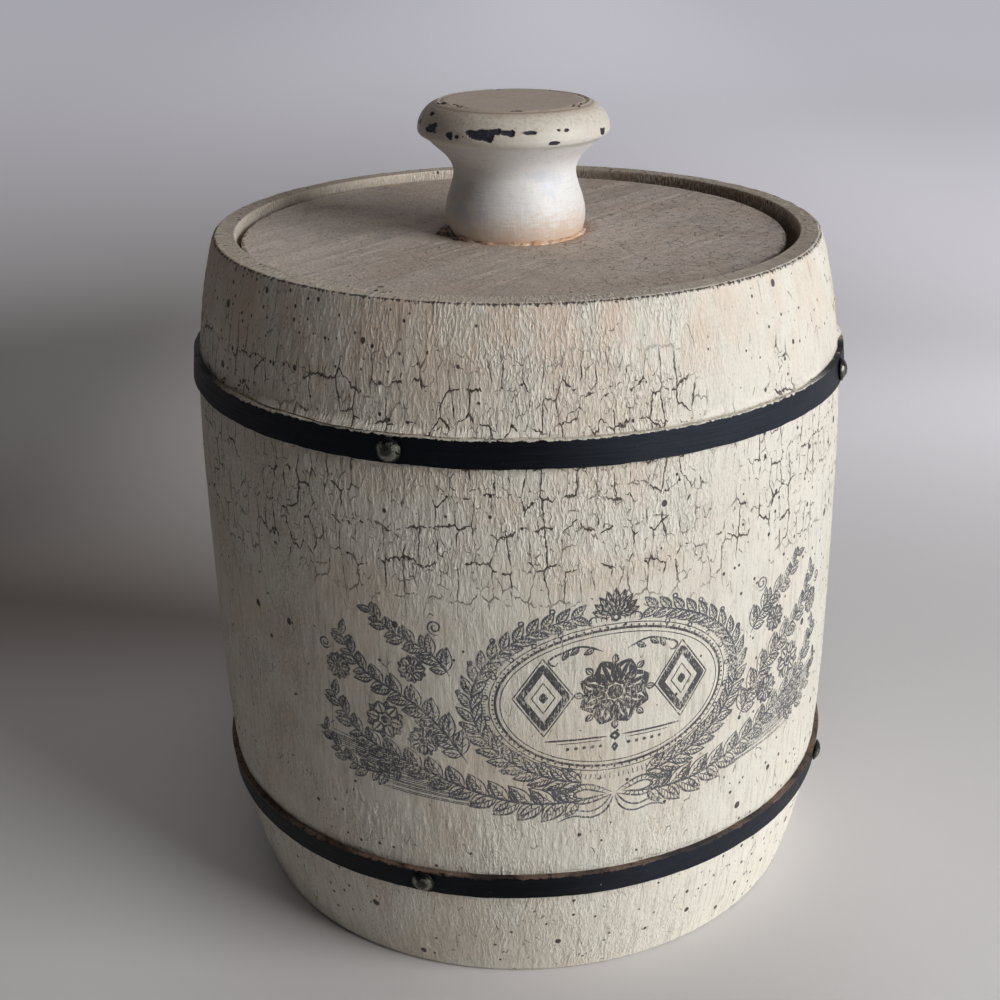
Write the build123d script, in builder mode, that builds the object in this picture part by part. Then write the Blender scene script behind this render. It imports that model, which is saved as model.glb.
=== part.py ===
from build123d import *
import os
from math import cos, degrees, atan2, radians, sin, tan

# A small coopered keg for salt, with a loose round lid that lies in a rebate inside the rim.
# Millimetres. The origin is the middle of the foot, on the surface the keg stands on, and +Z is up.
# The front of the keg faces -Y. Angles go round +Z from +X, so the front is at -90 degrees.

# Keg wall
keg_height = 146.0
end_radius = 63.7  # outside, at the foot and at the rim
bilge_swell = 6.3  # how far the middle stands out beyond the two ends
bilge_power = 3.7  # high: the middle runs nearly straight and the ends turn in late
stave_count = 12
first_joint_angle = -95.0
wall_thickness = 9.7  # at the foot and the rim, on the middle line of a stave
edge_round = 0.8  # worn outer edges at the foot and the rim

# Bottom board and the groove that holds it
chime_height = 7.0  # from the foot to the underside of the board
bottom_thickness = 6.0
croze_depth = 3.5  # into the wall, from the flat inner face of a stave
bottom_gap = 0.3  # round the edge of the board
bottom_slack = 0.1  # above the board

# Lid
rim_width = 4.5  # level top of the wall, outside the rebate that the lid lies in
lid_gap = 1.9  # round the lid, to the wall of the rebate
lid_thickness = 9.0
lid_recess = 1.8  # from the rim down to the top of the lid
lid_x = -0.8  # the loose lid lies a little towards -X
lid_edge_round = 0.6
lid_under_chamfer = 1.0

# Hoops
hoop_width = 5.4
hoop_thickness = 1.2
hoop_fit = 0.05  # between a hoop and the staves
upper_hoop_drop = 23.3  # from the rim to the upper edge of the hoop
lower_hoop_rise = 23.6  # from the foot to the lower edge of the hoop

# Hoop nails
nails_per_hoop = 4
first_nail_angle = -110.0
lower_nail_turn = 2.0  # how far the lower hoop's nails stand round from the upper hoop's
nail_head_radius = 2.4
nail_head_height = 1.3
nail_head_edge = 0.3  # straight edge of the head, under its dome
nail_shank_radius = 0.75
nail_length = 9.0
nail_point = 2.0
nail_head_fit = 0.05  # between the head and the hoop

# Knob
knob_height = 27.0
knob_top_radius = 15.6
knob_cap_radius = 20.0
knob_cap_height = 21.4  # where the cap is widest
knob_waist_radius = 12.9
knob_waist_height = 13.5
knob_swell_radius = 14.8
knob_swell_height = 4.2
knob_foot_radius = 14.1
knob_lip_round = 1.3  # under the widest part of the cap
knob_shoulder_slope = 0.35  # how steeply the cap leaves the flat top
knob_foot_tuck = 0.25  # how far the foot leans in at the lid
knob_ring_width = 0.9  # groove turned round the flat top
knob_ring_depth = 0.35

# Screw from under the lid
screw_head_radius = 4.2
screw_shank_radius = 2.1
screw_core_radius = 1.5
screw_thread_rise = 0.5  # how far the thread stands out of the core
screw_thread_pitch = 1.8
screw_length = 24.0
screw_point = 3.0
screw_slot_width = 1.0
screw_slot_depth = 1.1
screw_head_angle = 90.0  # across the cone under the head
screw_fit = 0.1

# Glue round the foot of the knob
bead_width = 1.3
bead_height = 0.8

# Points that the turned outlines run through, for each height of a stave and of a hoop
side_stations = 8
hoop_stations = 2

half_height = keg_height / 2
stave_half_angle = 180.0 / stave_count
stave_angles = [first_joint_angle + stave_half_angle * (2 * i + 1) for i in range(stave_count)]
nail_spacing = 360.0 / nails_per_hoop
well_radius = end_radius - wall_thickness
rebate_radius = end_radius - rim_width
lid_radius = rebate_radius - lid_gap
rebate_depth = lid_recess + lid_thickness
ledge_height = keg_height - rebate_depth
lid_top = ledge_height + lid_thickness
croze_radius = well_radius + croze_depth
lower_hoop_middle = lower_hoop_rise + hoop_width / 2
upper_hoop_middle = keg_height - upper_hoop_drop - hoop_width / 2
upright = (Align.CENTER, Align.CENTER, Align.MIN)


def keg_radius(height):
    """Outside radius of the keg at a height: widest half way up, and turning in late towards both ends."""
    share = abs(height / half_height - 1.0)
    return end_radius + bilge_swell * (1.0 - share**bilge_power)


def keg_lean(height):
    """Angle in degrees by which the keg's outside faces up (or, if negative, down) at a height."""
    step = hoop_width / 2
    return degrees(atan2(keg_radius(height - step) - keg_radius(height + step), 2 * step))


def side_points(low, high, count):
    """Points (radius, height) down the outside of the keg, evenly spaced in height."""
    heights = [low + (high - low) * i / count for i in range(count + 1)]
    return [(keg_radius(height), height) for height in heights]


def nail_plane(height, angle):
    """Plane on the outside of a hoop, facing straight out of it, with its origin under the nail's head."""
    out = keg_radius(height) + hoop_fit + hoop_thickness + nail_head_fit
    turn = radians(angle)
    lean = radians(keg_lean(height))
    origin = (out * cos(turn), out * sin(turn), height)
    outward = (cos(lean) * cos(turn), cos(lean) * sin(turn), sin(lean))
    return Plane(origin=origin, x_dir=(-sin(turn), cos(turn), 0), z_dir=outward)


def nail_planes(height, turn):
    """Planes of one hoop's nails, evenly spaced, all turned round by the same angle."""
    angles = [first_nail_angle + turn + nail_spacing * i for i in range(nails_per_hoop)]
    return [nail_plane(height, angle) for angle in angles]


def save(part, name):
    part.label = name
    export_step(part, f"parts/{name}.step")


os.makedirs("parts", exist_ok=True)
upper_nail_planes = nail_planes(upper_hoop_middle, 0.0)
lower_nail_planes = nail_planes(lower_hoop_middle, lower_nail_turn)
nail_reach = nail_length + nail_head_fit

# Staves: straight, with flat inner faces and bevelled joints, turned to the keg's outline once glued up
stock_radius = (end_radius + bilge_swell) / cos(radians(stave_half_angle))

for number, stave_angle in enumerate(stave_angles, start=1):
    with BuildPart() as stave:
        with BuildSketch(Plane.XY.rotated((0, 0, stave_angle))):
            inner_half = well_radius * tan(radians(stave_half_angle))
            outer_half = stock_radius * tan(radians(stave_half_angle))
            with BuildLine():
                Polyline(
                    (well_radius, -inner_half),
                    (stock_radius, -outer_half),
                    (stock_radius, outer_half),
                    (well_radius, inner_half),
                    close=True,
                )
            make_face()
        extrude(amount=keg_height)
        with BuildSketch(Plane.XZ) as outline:
            with BuildLine():
                Spline(*side_points(0.0, keg_height, side_stations))
                Line((end_radius, keg_height), (0, keg_height))
                Line((0, keg_height), (0, 0))
                Line((0, 0), (end_radius, 0))
            make_face()
            fillet(outline.vertices().group_by(Axis.X)[-1], radius=edge_round)
        revolve(axis=Axis.Z, mode=Mode.INTERSECT)
        with Locations((0, 0, ledge_height)):
            Cylinder(rebate_radius, rebate_depth, align=upright, mode=Mode.SUBTRACT)
        with Locations((0, 0, chime_height)):
            Cylinder(croze_radius, bottom_thickness + bottom_slack, align=upright, mode=Mode.SUBTRACT)
        with Locations(*upper_nail_planes, *lower_nail_planes):
            Cylinder(nail_shank_radius, 2 * nail_reach, mode=Mode.SUBTRACT)
    save(stave.part, f"stave_{number:02d}")

# Bottom board
with BuildPart() as bottom_head:
    with Locations((0, 0, chime_height)):
        Cylinder(croze_radius - bottom_gap, bottom_thickness, align=upright)
save(bottom_head.part, "bottom_head")


# Hoops: flat strip bent round the keg, so its section leans with the keg's side
def make_hoop(low, planes, name):
    high = low + hoop_width
    foot = keg_radius(low) + hoop_fit
    head = keg_radius(high) + hoop_fit
    with BuildPart() as hoop:
        with BuildSketch(Plane.XZ):
            with BuildLine():
                Spline(*[(r + hoop_fit, z) for r, z in side_points(low, high, hoop_stations)])
                Line((head, high), (head + hoop_thickness, high))
                Line((head + hoop_thickness, high), (foot + hoop_thickness, low))
                Line((foot + hoop_thickness, low), (foot, low))
            make_face()
        revolve(axis=Axis.Z)
        with Locations(*planes):
            Cylinder(nail_shank_radius, 2 * nail_reach, mode=Mode.SUBTRACT)
    save(hoop.part, name)


make_hoop(keg_height - upper_hoop_drop - hoop_width, upper_nail_planes, "upper_hoop")
make_hoop(lower_hoop_rise, lower_nail_planes, "lower_hoop")


# Hoop nails: domed head outside the hoop, pointed shank in the stave
with BuildPart() as nail:
    with BuildSketch(Plane.XZ):
        dome_height = nail_head_height - nail_head_edge
        dome_radius = (nail_head_radius**2 + dome_height**2) / (2 * dome_height)
        with BuildLine():
            Polyline(
                (0, nail_head_height),
                (0, -nail_length),
                (nail_shank_radius, nail_point - nail_length),
                (nail_shank_radius, 0),
                (nail_head_radius, 0),
                (nail_head_radius, nail_head_edge),
            )
            RadiusArc((nail_head_radius, nail_head_edge), (0, nail_head_height), -dome_radius)
        make_face()
    revolve(axis=Axis.Z)

for hoop_name, planes in (("upper_hoop", upper_nail_planes), ("lower_hoop", lower_nail_planes)):
    with BuildPart() as nails:
        with Locations(*planes):
            add(nail.part)
    save(nails.part, f"{hoop_name}_nails")

# Lid: a loose disc in the rebate, lying a little to one side of it, with the screw's hole in its middle
lid_axis = Axis((lid_x, 0, 0), (0, 0, 1))
under_lid = Plane(origin=(lid_x, 0, ledge_height), x_dir=(1, 0, 0), z_dir=(0, 0, -1))
lid_section = Plane(origin=(lid_x, 0, ledge_height), x_dir=(1, 0, 0), z_dir=(0, -1, 0))
knob_section = Plane(origin=(lid_x, 0, lid_top), x_dir=(1, 0, 0), z_dir=(0, -1, 0))

with BuildPart() as lid_disc:
    with Locations((lid_x, 0, ledge_height)):
        Cylinder(lid_radius, lid_thickness, align=upright)
    fillet(lid_disc.edges().group_by(Axis.Z)[-1], radius=lid_edge_round)
    chamfer(lid_disc.edges().group_by(Axis.Z)[0], length=lid_under_chamfer)
    with Locations(under_lid):
        CounterSinkHole(
            screw_shank_radius + screw_fit,
            screw_head_radius + screw_fit,
            lid_thickness,
            screw_head_angle,
        )
save(lid_disc.part, "lid_disc")

# Screw, from the underside of the lid up into the knob. Its thread is a row of rings round the core
screw_head_height = (screw_head_radius - screw_shank_radius) / tan(radians(screw_head_angle / 2))
thread_count = int((screw_length - screw_point - lid_thickness) / screw_thread_pitch)
thread_start = screw_length - screw_point - thread_count * screw_thread_pitch
thread_crests = [thread_start + screw_thread_pitch * (i + 0.5) for i in range(thread_count)]
thread_roots = [thread_start + screw_thread_pitch * (i + 1) for i in range(thread_count)]
thread_outline = [(screw_core_radius, thread_start)]
for crest, root in zip(thread_crests, thread_roots):
    thread_outline += [(screw_core_radius + screw_thread_rise, crest), (screw_core_radius, root)]

with BuildPart() as knob_screw:
    with BuildSketch(lid_section):
        with BuildLine():
            Polyline(
                (0, 0),
                (screw_head_radius, 0),
                (screw_shank_radius, screw_head_height),
                (screw_shank_radius, thread_start),
                *thread_outline,
                (0, screw_length),
                close=True,
            )
        make_face()
    revolve(axis=lid_axis)
    with Locations((lid_x, 0, ledge_height)):
        Box(2 * screw_head_radius, screw_slot_width, 2 * screw_slot_depth, mode=Mode.SUBTRACT)
save(knob_screw.part, "knob_screw")

# Knob: turned, with a flat ringed top, a rounded cap, a waist and a foot that swells out
lip_height = knob_cap_height - knob_lip_round
with BuildPart() as knob:
    with BuildSketch(knob_section):
        with BuildLine():
            Polyline(
                (knob_foot_radius, 0),
                (0, 0),
                (0, knob_height),
                (knob_top_radius, knob_height),
            )
            Spline(
                (knob_top_radius, knob_height),
                (knob_cap_radius, knob_cap_height),
                tangents=((1, -knob_shoulder_slope), (0, -1)),
            )
            Spline(
                (knob_cap_radius, knob_cap_height),
                (knob_cap_radius - knob_lip_round, lip_height),
                (knob_waist_radius, knob_waist_height),
                (knob_swell_radius, knob_swell_height),
                (knob_foot_radius, 0),
                tangents=((0, -1), (-knob_foot_tuck, -1)),
            )
        make_face()
    revolve(axis=lid_axis)
    with BuildSketch(knob_section):
        with BuildLine():
            Polyline(
                (knob_top_radius - knob_ring_width, knob_height),
                (knob_top_radius, knob_height),
                (knob_top_radius - knob_ring_width / 2, knob_height - knob_ring_depth),
                close=True,
            )
        make_face()
    revolve(axis=lid_axis, mode=Mode.SUBTRACT)
    with Locations((lid_x, 0, lid_top)):
        pilot_radius = max(screw_core_radius + screw_thread_rise, screw_shank_radius) + screw_fit
        Cylinder(pilot_radius, screw_length - lid_thickness + screw_fit, align=upright, mode=Mode.SUBTRACT)
save(knob.part, "knob")

# Glue squeezed out round the foot of the knob
with BuildPart() as glue_bead:
    with BuildSketch(knob_section):
        with BuildLine():
            Polyline(
                (knob_foot_radius - bead_width, 0),
                (knob_foot_radius + bead_width, 0),
                (knob_foot_radius - bead_width, 2 * bead_height),
                close=True,
            )
        make_face()
    revolve(axis=lid_axis)
    add(knob.part, mode=Mode.SUBTRACT)
    with Locations((lid_x, 0, lid_top)):
        Cylinder(knob_foot_radius, bead_height, align=upright, mode=Mode.SUBTRACT)
save(glue_bead.part, "glue_bead")
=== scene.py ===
import bpy
import numpy as np
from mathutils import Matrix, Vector


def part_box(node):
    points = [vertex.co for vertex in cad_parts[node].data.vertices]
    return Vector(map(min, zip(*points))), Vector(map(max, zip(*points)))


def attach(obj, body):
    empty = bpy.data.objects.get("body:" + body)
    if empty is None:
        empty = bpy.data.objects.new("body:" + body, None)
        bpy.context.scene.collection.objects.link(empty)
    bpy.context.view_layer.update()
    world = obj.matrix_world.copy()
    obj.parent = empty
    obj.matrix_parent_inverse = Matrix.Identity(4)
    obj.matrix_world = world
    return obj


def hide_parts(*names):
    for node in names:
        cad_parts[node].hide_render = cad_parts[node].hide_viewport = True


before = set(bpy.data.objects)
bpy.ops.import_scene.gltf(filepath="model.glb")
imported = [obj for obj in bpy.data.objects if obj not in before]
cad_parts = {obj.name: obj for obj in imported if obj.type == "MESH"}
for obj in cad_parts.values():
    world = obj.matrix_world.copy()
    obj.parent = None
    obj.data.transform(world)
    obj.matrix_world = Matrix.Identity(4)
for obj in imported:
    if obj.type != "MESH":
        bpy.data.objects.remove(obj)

# A small painted keg for salt, in metres, +Z up, its front towards -Y, angles round +Z from +X.
# Dictionaries hold millimetres and degrees unless a note says otherwise, and mm turns them into metres.
mm = 0.001
turn = 2 * np.pi
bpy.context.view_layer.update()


# tools for surfaces
def gridFaces(rows, columns, wrapRows=False, wrapColumns=False):
    # a four-sided face from each grid point to the next ones along both ways
    row = np.arange(rows if wrapRows else rows - 1)[:, None]
    column = np.arange(columns if wrapColumns else columns - 1)[None, :]
    nextRow = (row + 1) % rows
    nextColumn = (column + 1) % columns
    corners = [row * columns + column, row * columns + nextColumn]
    corners += [nextRow * columns + nextColumn, nextRow * columns + column]
    return np.stack(corners, -1).reshape(-1, 4)


def poleFaces(pole, ring, flip=False):
    # three-sided faces from one pole point to a closed ring of points
    faces = np.stack([np.full(len(ring), pole), ring, np.roll(ring, -1)], -1)
    return faces[:, ::-1] if flip else faces


def signedVolume(points, faces):
    # sum over the faces, cut into triangles from their first corner, of the triple product of the corners
    total = 0.0
    for block in faces:
        for k in range(1, block.shape[1] - 1):
            a, b, c = points[block[:, 0]], points[block[:, k]], points[block[:, k + 1]]
            total += np.einsum("ij,ij->", a, np.cross(b, c))
    return total


def makePiece(name, points, faces, finishes, fields=None, finishOf=None, sharpAbove=50.0):
    # points in millimetres; faces is a list of arrays, one face a row; fields are values kept at each point
    if signedVolume(points, faces) < 0:
        faces = [block[:, ::-1] for block in faces]
    mesh = bpy.data.meshes.new(name)
    mesh.vertices.add(len(points))
    mesh.vertices.foreach_set("co", (points * mm).astype(np.float32).ravel())
    corners = np.concatenate([block.ravel() for block in faces]).astype(np.int32)
    sizes = np.concatenate([np.full(len(block), block.shape[1]) for block in faces])
    mesh.loops.add(len(corners))
    mesh.loops.foreach_set("vertex_index", corners)
    mesh.polygons.add(len(sizes))
    mesh.polygons.foreach_set("loop_start", (np.cumsum(sizes) - sizes).astype(np.int32))
    if finishOf is not None:
        mesh.polygons.foreach_set("material_index", finishOf.astype(np.int32))
    mesh.update(calc_edges=True)
    mesh.polygons.foreach_set("use_smooth", np.ones(len(sizes), bool))
    mesh.set_sharp_from_angle(angle=np.radians(sharpAbove))
    for fieldName, values in (fields or {}).items():
        kind, key = ("FLOAT_VECTOR", "vector") if values.ndim == 2 else ("FLOAT", "value")
        attribute = mesh.attributes.new(fieldName, kind, "POINT")
        attribute.data.foreach_set(key, values.astype(np.float32).ravel())
    for finish in finishes:
        mesh.materials.append(finish)
    piece = bpy.data.objects.new(name, mesh)
    bpy.context.scene.collection.objects.link(piece)
    return piece


def blurredNoise(shape, reach, seed):
    # white noise blurred by a bell curve whose reach is in samples along each way, scaled to unit spread
    white = np.random.default_rng(seed).standard_normal(shape)
    down = np.fft.fftfreq(shape[0])[:, None] * reach[0]
    across = np.fft.rfftfreq(shape[1])[None, :] * reach[1]
    bell = np.exp(-2 * np.pi**2 * (down**2 + across**2))
    field = np.fft.irfft2(np.fft.rfft2(white) * bell, shape)
    return field / field.std()


def sampleField(field, row, column):
    # a field read between its samples, in proportion to the nearness of the four round the place; it wraps
    lowRow, lowColumn = np.floor(row).astype(int), np.floor(column).astype(int)
    shareRow, shareColumn = row - lowRow, column - lowColumn
    rowA, rowB = lowRow % field.shape[0], (lowRow + 1) % field.shape[0]
    columnA, columnB = lowColumn % field.shape[1], (lowColumn + 1) % field.shape[1]
    first = field[rowA, columnA] * (1 - shareColumn) + field[rowA, columnB] * shareColumn
    second = field[rowB, columnA] * (1 - shareColumn) + field[rowB, columnB] * shareColumn
    return first * (1 - shareRow) + second * shareRow


def rise(value, low, high):
    # 0 below low, 1 above high, and a smooth S between them
    share = np.clip((value - low) / (high - low), 0, 1)
    return share * share * (3 - 2 * share)


def smoothThrough(points, step):
    # a smooth curve through a few points: each coordinate is a cubic spline of the chord length run so far
    points = np.asarray(points, float)
    gap = np.hypot(*np.diff(points, axis=0).T)
    way = np.concatenate([[0], np.cumsum(gap)])
    count = len(points)
    system = np.zeros((count, count))
    right = np.zeros((count, 2))
    inner = np.arange(1, count - 1)
    system[inner, inner - 1] = gap[1:]
    system[inner, inner] = 2 * (gap[:-1] + gap[1:])
    system[inner, inner + 1] = gap[:-1]
    slope = np.diff(points, axis=0) / gap[:, None]
    right[inner] = 3 * (slope[:-1] * gap[1:, None] + slope[1:] * gap[:-1, None])
    system[0, :2] = (2, 1)
    right[0] = 3 * slope[0]
    system[-1, -2:] = (1, 2)
    right[-1] = 3 * slope[-1]
    speed = np.linalg.solve(system, right)
    at = np.linspace(0, way[-1], int(np.ceil(way[-1] / step)) + 1)
    span = np.clip(np.searchsorted(way, at, "right") - 1, 0, count - 2)
    t = ((at - way[span]) / gap[span])[:, None]
    width = gap[span][:, None]
    ends = points[span] * (1 + 2 * t) * (1 - t) ** 2 + points[span + 1] * t * t * (3 - 2 * t)
    return ends + speed[span] * width * t * (1 - t) ** 2 - speed[span + 1] * width * t * t * (1 - t)


def straight(start, end, step):
    # points from start up to, but not at, end
    start, end = np.asarray(start, float), np.asarray(end, float)
    count = max(1, int(np.ceil(np.hypot(*(end - start)) / step)))
    return start + (end - start) * (np.arange(count) / count)[:, None]


def onCircle(angle):
    return np.stack([np.cos(angle), np.sin(angle)], -1)


def turnedFrom(angle, middle):
    # degrees from middle to angle, between -180 and 180
    return (angle - middle + 180) % 360 - 180


def aroundAxis(radius, angle, height, centre=(0.0, 0.0)):
    # points from a radius, an angle in degrees and a height
    angle = np.radians(angle)
    return np.stack([centre[0] + radius * np.cos(angle), centre[1] + radius * np.sin(angle), height], -1)


# tools for finishes
def shade(red, green, blue):
    # a colour as a painter's chart gives it, 0 to 255, turned into light
    share = np.array([red, green, blue]) / 255
    light = np.where(share <= 0.04045, share / 12.92, ((share + 0.055) / 1.055) ** 2.4)
    return (*light.tolist(), 1.0)


class Recipe:
    # a material or world, its colour so far and short ways to add nodes; a value may be a number or a socket
    def __init__(self, name, base, look=None, kind=bpy.data.materials):
        # look is a palette, and base is a colour or the name of one in look
        self.look = look
        self.colour = look[base] if look else base
        self.owner = kind.new(name)
        self.owner.use_nodes = True
        self.nodes = self.owner.node_tree.nodes
        self.links = self.owner.node_tree.links
        self.nodes.clear()

    def feed(self, socket, value):
        if isinstance(value, bpy.types.NodeSocket):
            self.links.new(value, socket)
        else:
            socket.default_value = value

    def node(self, kind, settings=None, **inputs):
        made = self.nodes.new("ShaderNode" + kind)
        for key, value in (settings or {}).items():
            setattr(made, key, value)
        for key, value in inputs.items():
            self.feed(made.inputs[key.replace("_", " ")], value)
        return made

    def filled(self, made, *values):
        # feeds a node's sockets in their order and hands over its first output
        for socket, value in zip(made.inputs, values):
            self.feed(socket, value)
        return made.outputs[0]

    def math(self, operation, *values):
        return self.filled(self.node("Math", {"operation": operation}), *values)

    def vector(self, operation, *values):
        return self.filled(self.node("VectorMath", {"operation": operation}), *values)

    def chain(self, operation, total, *values):
        for value in values:
            total = self.math(operation, total, value)
        return total

    def add(self, *values):
        return self.chain("ADD", *values)

    def times(self, *values):
        return self.chain("MULTIPLY", *values)

    def less(self, first, second):
        return self.math("SUBTRACT", first, second)

    def apart(self, first, second):
        return self.math("ABSOLUTE", self.less(first, second))

    def larger(self, first, second):
        return self.math("MAXIMUM", first, second)

    def ramp(self, value, low, high, start=0.0, end=1.0, kind="SMOOTHSTEP"):
        made = self.node("MapRange", {"interpolation_type": kind, "clamp": True})
        return self.filled(made, value, low, high, start, end)

    def fall(self, value, low, high):
        return self.ramp(value, low, high, 1.0, 0.0)

    def mix(self, share, first, second):
        made = self.node("Mix", {"data_type": "RGBA", "clamp_factor": True})
        colours = [socket for socket in made.inputs if socket.type == "RGBA"]
        self.feed(made.inputs[0], share)
        self.feed(colours[0], first)
        self.feed(colours[1], second)
        return [socket for socket in made.outputs if socket.type == "RGBA"][0]

    def lay(self, tint, *shares):
        # lays a tint, given like base, over the colour so far, as thick as the product of the shares
        tint = self.look[tint] if isinstance(tint, str) else tint
        self.colour = self.mix(self.times(*shares), self.colour, tint)

    def stretch(self, vector, scale=(1, 1, 1), place=(0, 0, 0), spin=(0, 0, 0)):
        return self.node("Mapping", Vector=vector, Scale=scale, Location=place, Rotation=spin).outputs[0]

    def noise(self, vector, scale, detail, rough=0.5, bend=0.0, flat=False):
        settings = {"noise_dimensions": "2D" if flat else "3D", "normalize": True}
        values = {"Vector": vector, "Scale": scale, "Detail": detail, "Roughness": rough, "Distortion": bend}
        return self.node("TexNoise", settings, **values).outputs[0]

    def grain(self, vector, stretch, shift, detail, rough, bend):
        # flat noise with marks about a millimetre long, squeezed by stretch
        return self.noise(self.stretch(vector, (*stretch, 1), (*shift, 0)), 1.0, detail, rough, bend, True)

    def colourNoise(self, vector, scale, detail):
        settings = {"noise_dimensions": "2D"}
        return self.node("TexNoise", settings, Vector=vector, Scale=scale, Detail=detail).outputs[1]

    def cells(self, vector, feature, scale, spread, flat):
        settings = {"feature": feature, "voronoi_dimensions": "2D" if flat else "3D"}
        return self.node("TexVoronoi", settings, Vector=vector, Scale=scale, Randomness=spread).outputs

    def split(self, vector):
        return self.node("SeparateXYZ", Vector=vector).outputs

    def field(self, name):
        made = self.node("Attribute", {"attribute_type": "GEOMETRY", "attribute_name": name})
        return made.outputs["Vector"], made.outputs["Fac"]

    def place(self):
        # where a point is on its object, in millimetres
        where = self.node("TexCoord").outputs["Object"]
        return self.vector("MULTIPLY", where, (1 / mm, 1 / mm, 1 / mm))

    def bump(self, height):
        # height in millimetres
        return self.node("Bump", Strength=1.0, Distance=mm, Height=height).outputs[0]

    def finish(self, rough, normal, **plain):
        # plain holds what is the same all over, set on the shader's own sockets
        plain.update(Base_Color=self.colour, Roughness=rough, Normal=normal)
        self.node("OutputMaterial", Surface=self.node("BsdfPrincipled", **plain).outputs[0])
        return self.owner


def cracked(mix, where, cell, width, keep, sway, jitter, spread):
    # 1 on the borders between cells, whose lines waver and break off where a noise is low. Cell, width, sway
    # and jitter are in millimetres; spread near 0 gives a square net
    slowBend = mix.vector("SUBTRACT", mix.colourNoise(where, 0.6 / cell, 1.0), (0.5, 0.5, 0.5))
    fastBend = mix.vector("SUBTRACT", mix.colourNoise(where, 1.1, 2.0), (0.5, 0.5, 0.5))
    bent = mix.vector("ADD", where, mix.vector("MULTIPLY", slowBend, (sway * 2,) * 3))
    bent = mix.vector("ADD", bent, mix.vector("MULTIPLY", fastBend, (jitter * 4,) * 3))
    border = mix.cells(bent, "DISTANCE_TO_EDGE", 1 / cell, spread, True)
    apart = mix.times(border["Distance"], cell)
    stretch = mix.noise(mix.stretch(where, place=(13, 29, 0)), 0.9 / cell, 3.0, 0.6, 0.0, True)
    wide = mix.times(mix.ramp(stretch, 0.62 - keep * 0.25, 0.74 - keep * 0.2), width * 0.5)
    opening = mix.ramp(wide, 0.0, width * 0.08)
    return mix.times(mix.fall(apart, mix.times(wide, 0.35), mix.add(wide, 0.012)), opening)


def dotted(mix, where, cell, smallest, largest, share, flat=True):
    # round specks, one in some of the cells, each with its own size; share is how many cells have one
    speck = mix.cells(where, "F1", 1 / cell, 1.0, flat)
    lot = mix.split(speck[1])
    radius = mix.ramp(mix.math("POWER", lot[0], 4.0), 0.0, 1.0, smallest, largest, "LINEAR")
    away = mix.times(speck[0], cell)
    drop = mix.fall(mix.less(away, radius), -0.09, 0.05)
    return mix.times(drop, mix.math("LESS_THAN", lot[1], share))


wallPaint = {
    "cream": shade(226, 222, 209),
    "warm": shade(220, 210, 193),
    "calm": shade(224, 221, 210),
    "grey": shade(202, 197, 183),
    "pink": shade(216, 196, 182),
    # paler paint laid on the ridges as a painted highlight
    "paintedRidgeHighlight": shade(238, 233, 222),
    # dirt, also laid in the paint's hollows as painted shade
    "dirt": shade(128, 114, 98),
    "pit": shade(104, 88, 74),
    "crack": shade(64, 52, 44),
    "speck": shade(44, 38, 36),
    # brown of the rebate's inner wall, dirt and painted shade
    "wellDirtAndShade": shade(134, 118, 100),
    "wear": shade(50, 40, 38),
    "land": shade(208, 198, 182),
    "shadyLand": shade(164, 152, 136),
    # paler paint laid low on the wall as painted light
    "foot": shade(246, 242, 228),
    "rust": shade(218, 188, 164),
    "grainDepth": 0.07,
    "crackDepth": 0.2,
    "crackWidth": 0.33,
    "ridgeDepth": 0.13,
}


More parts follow.
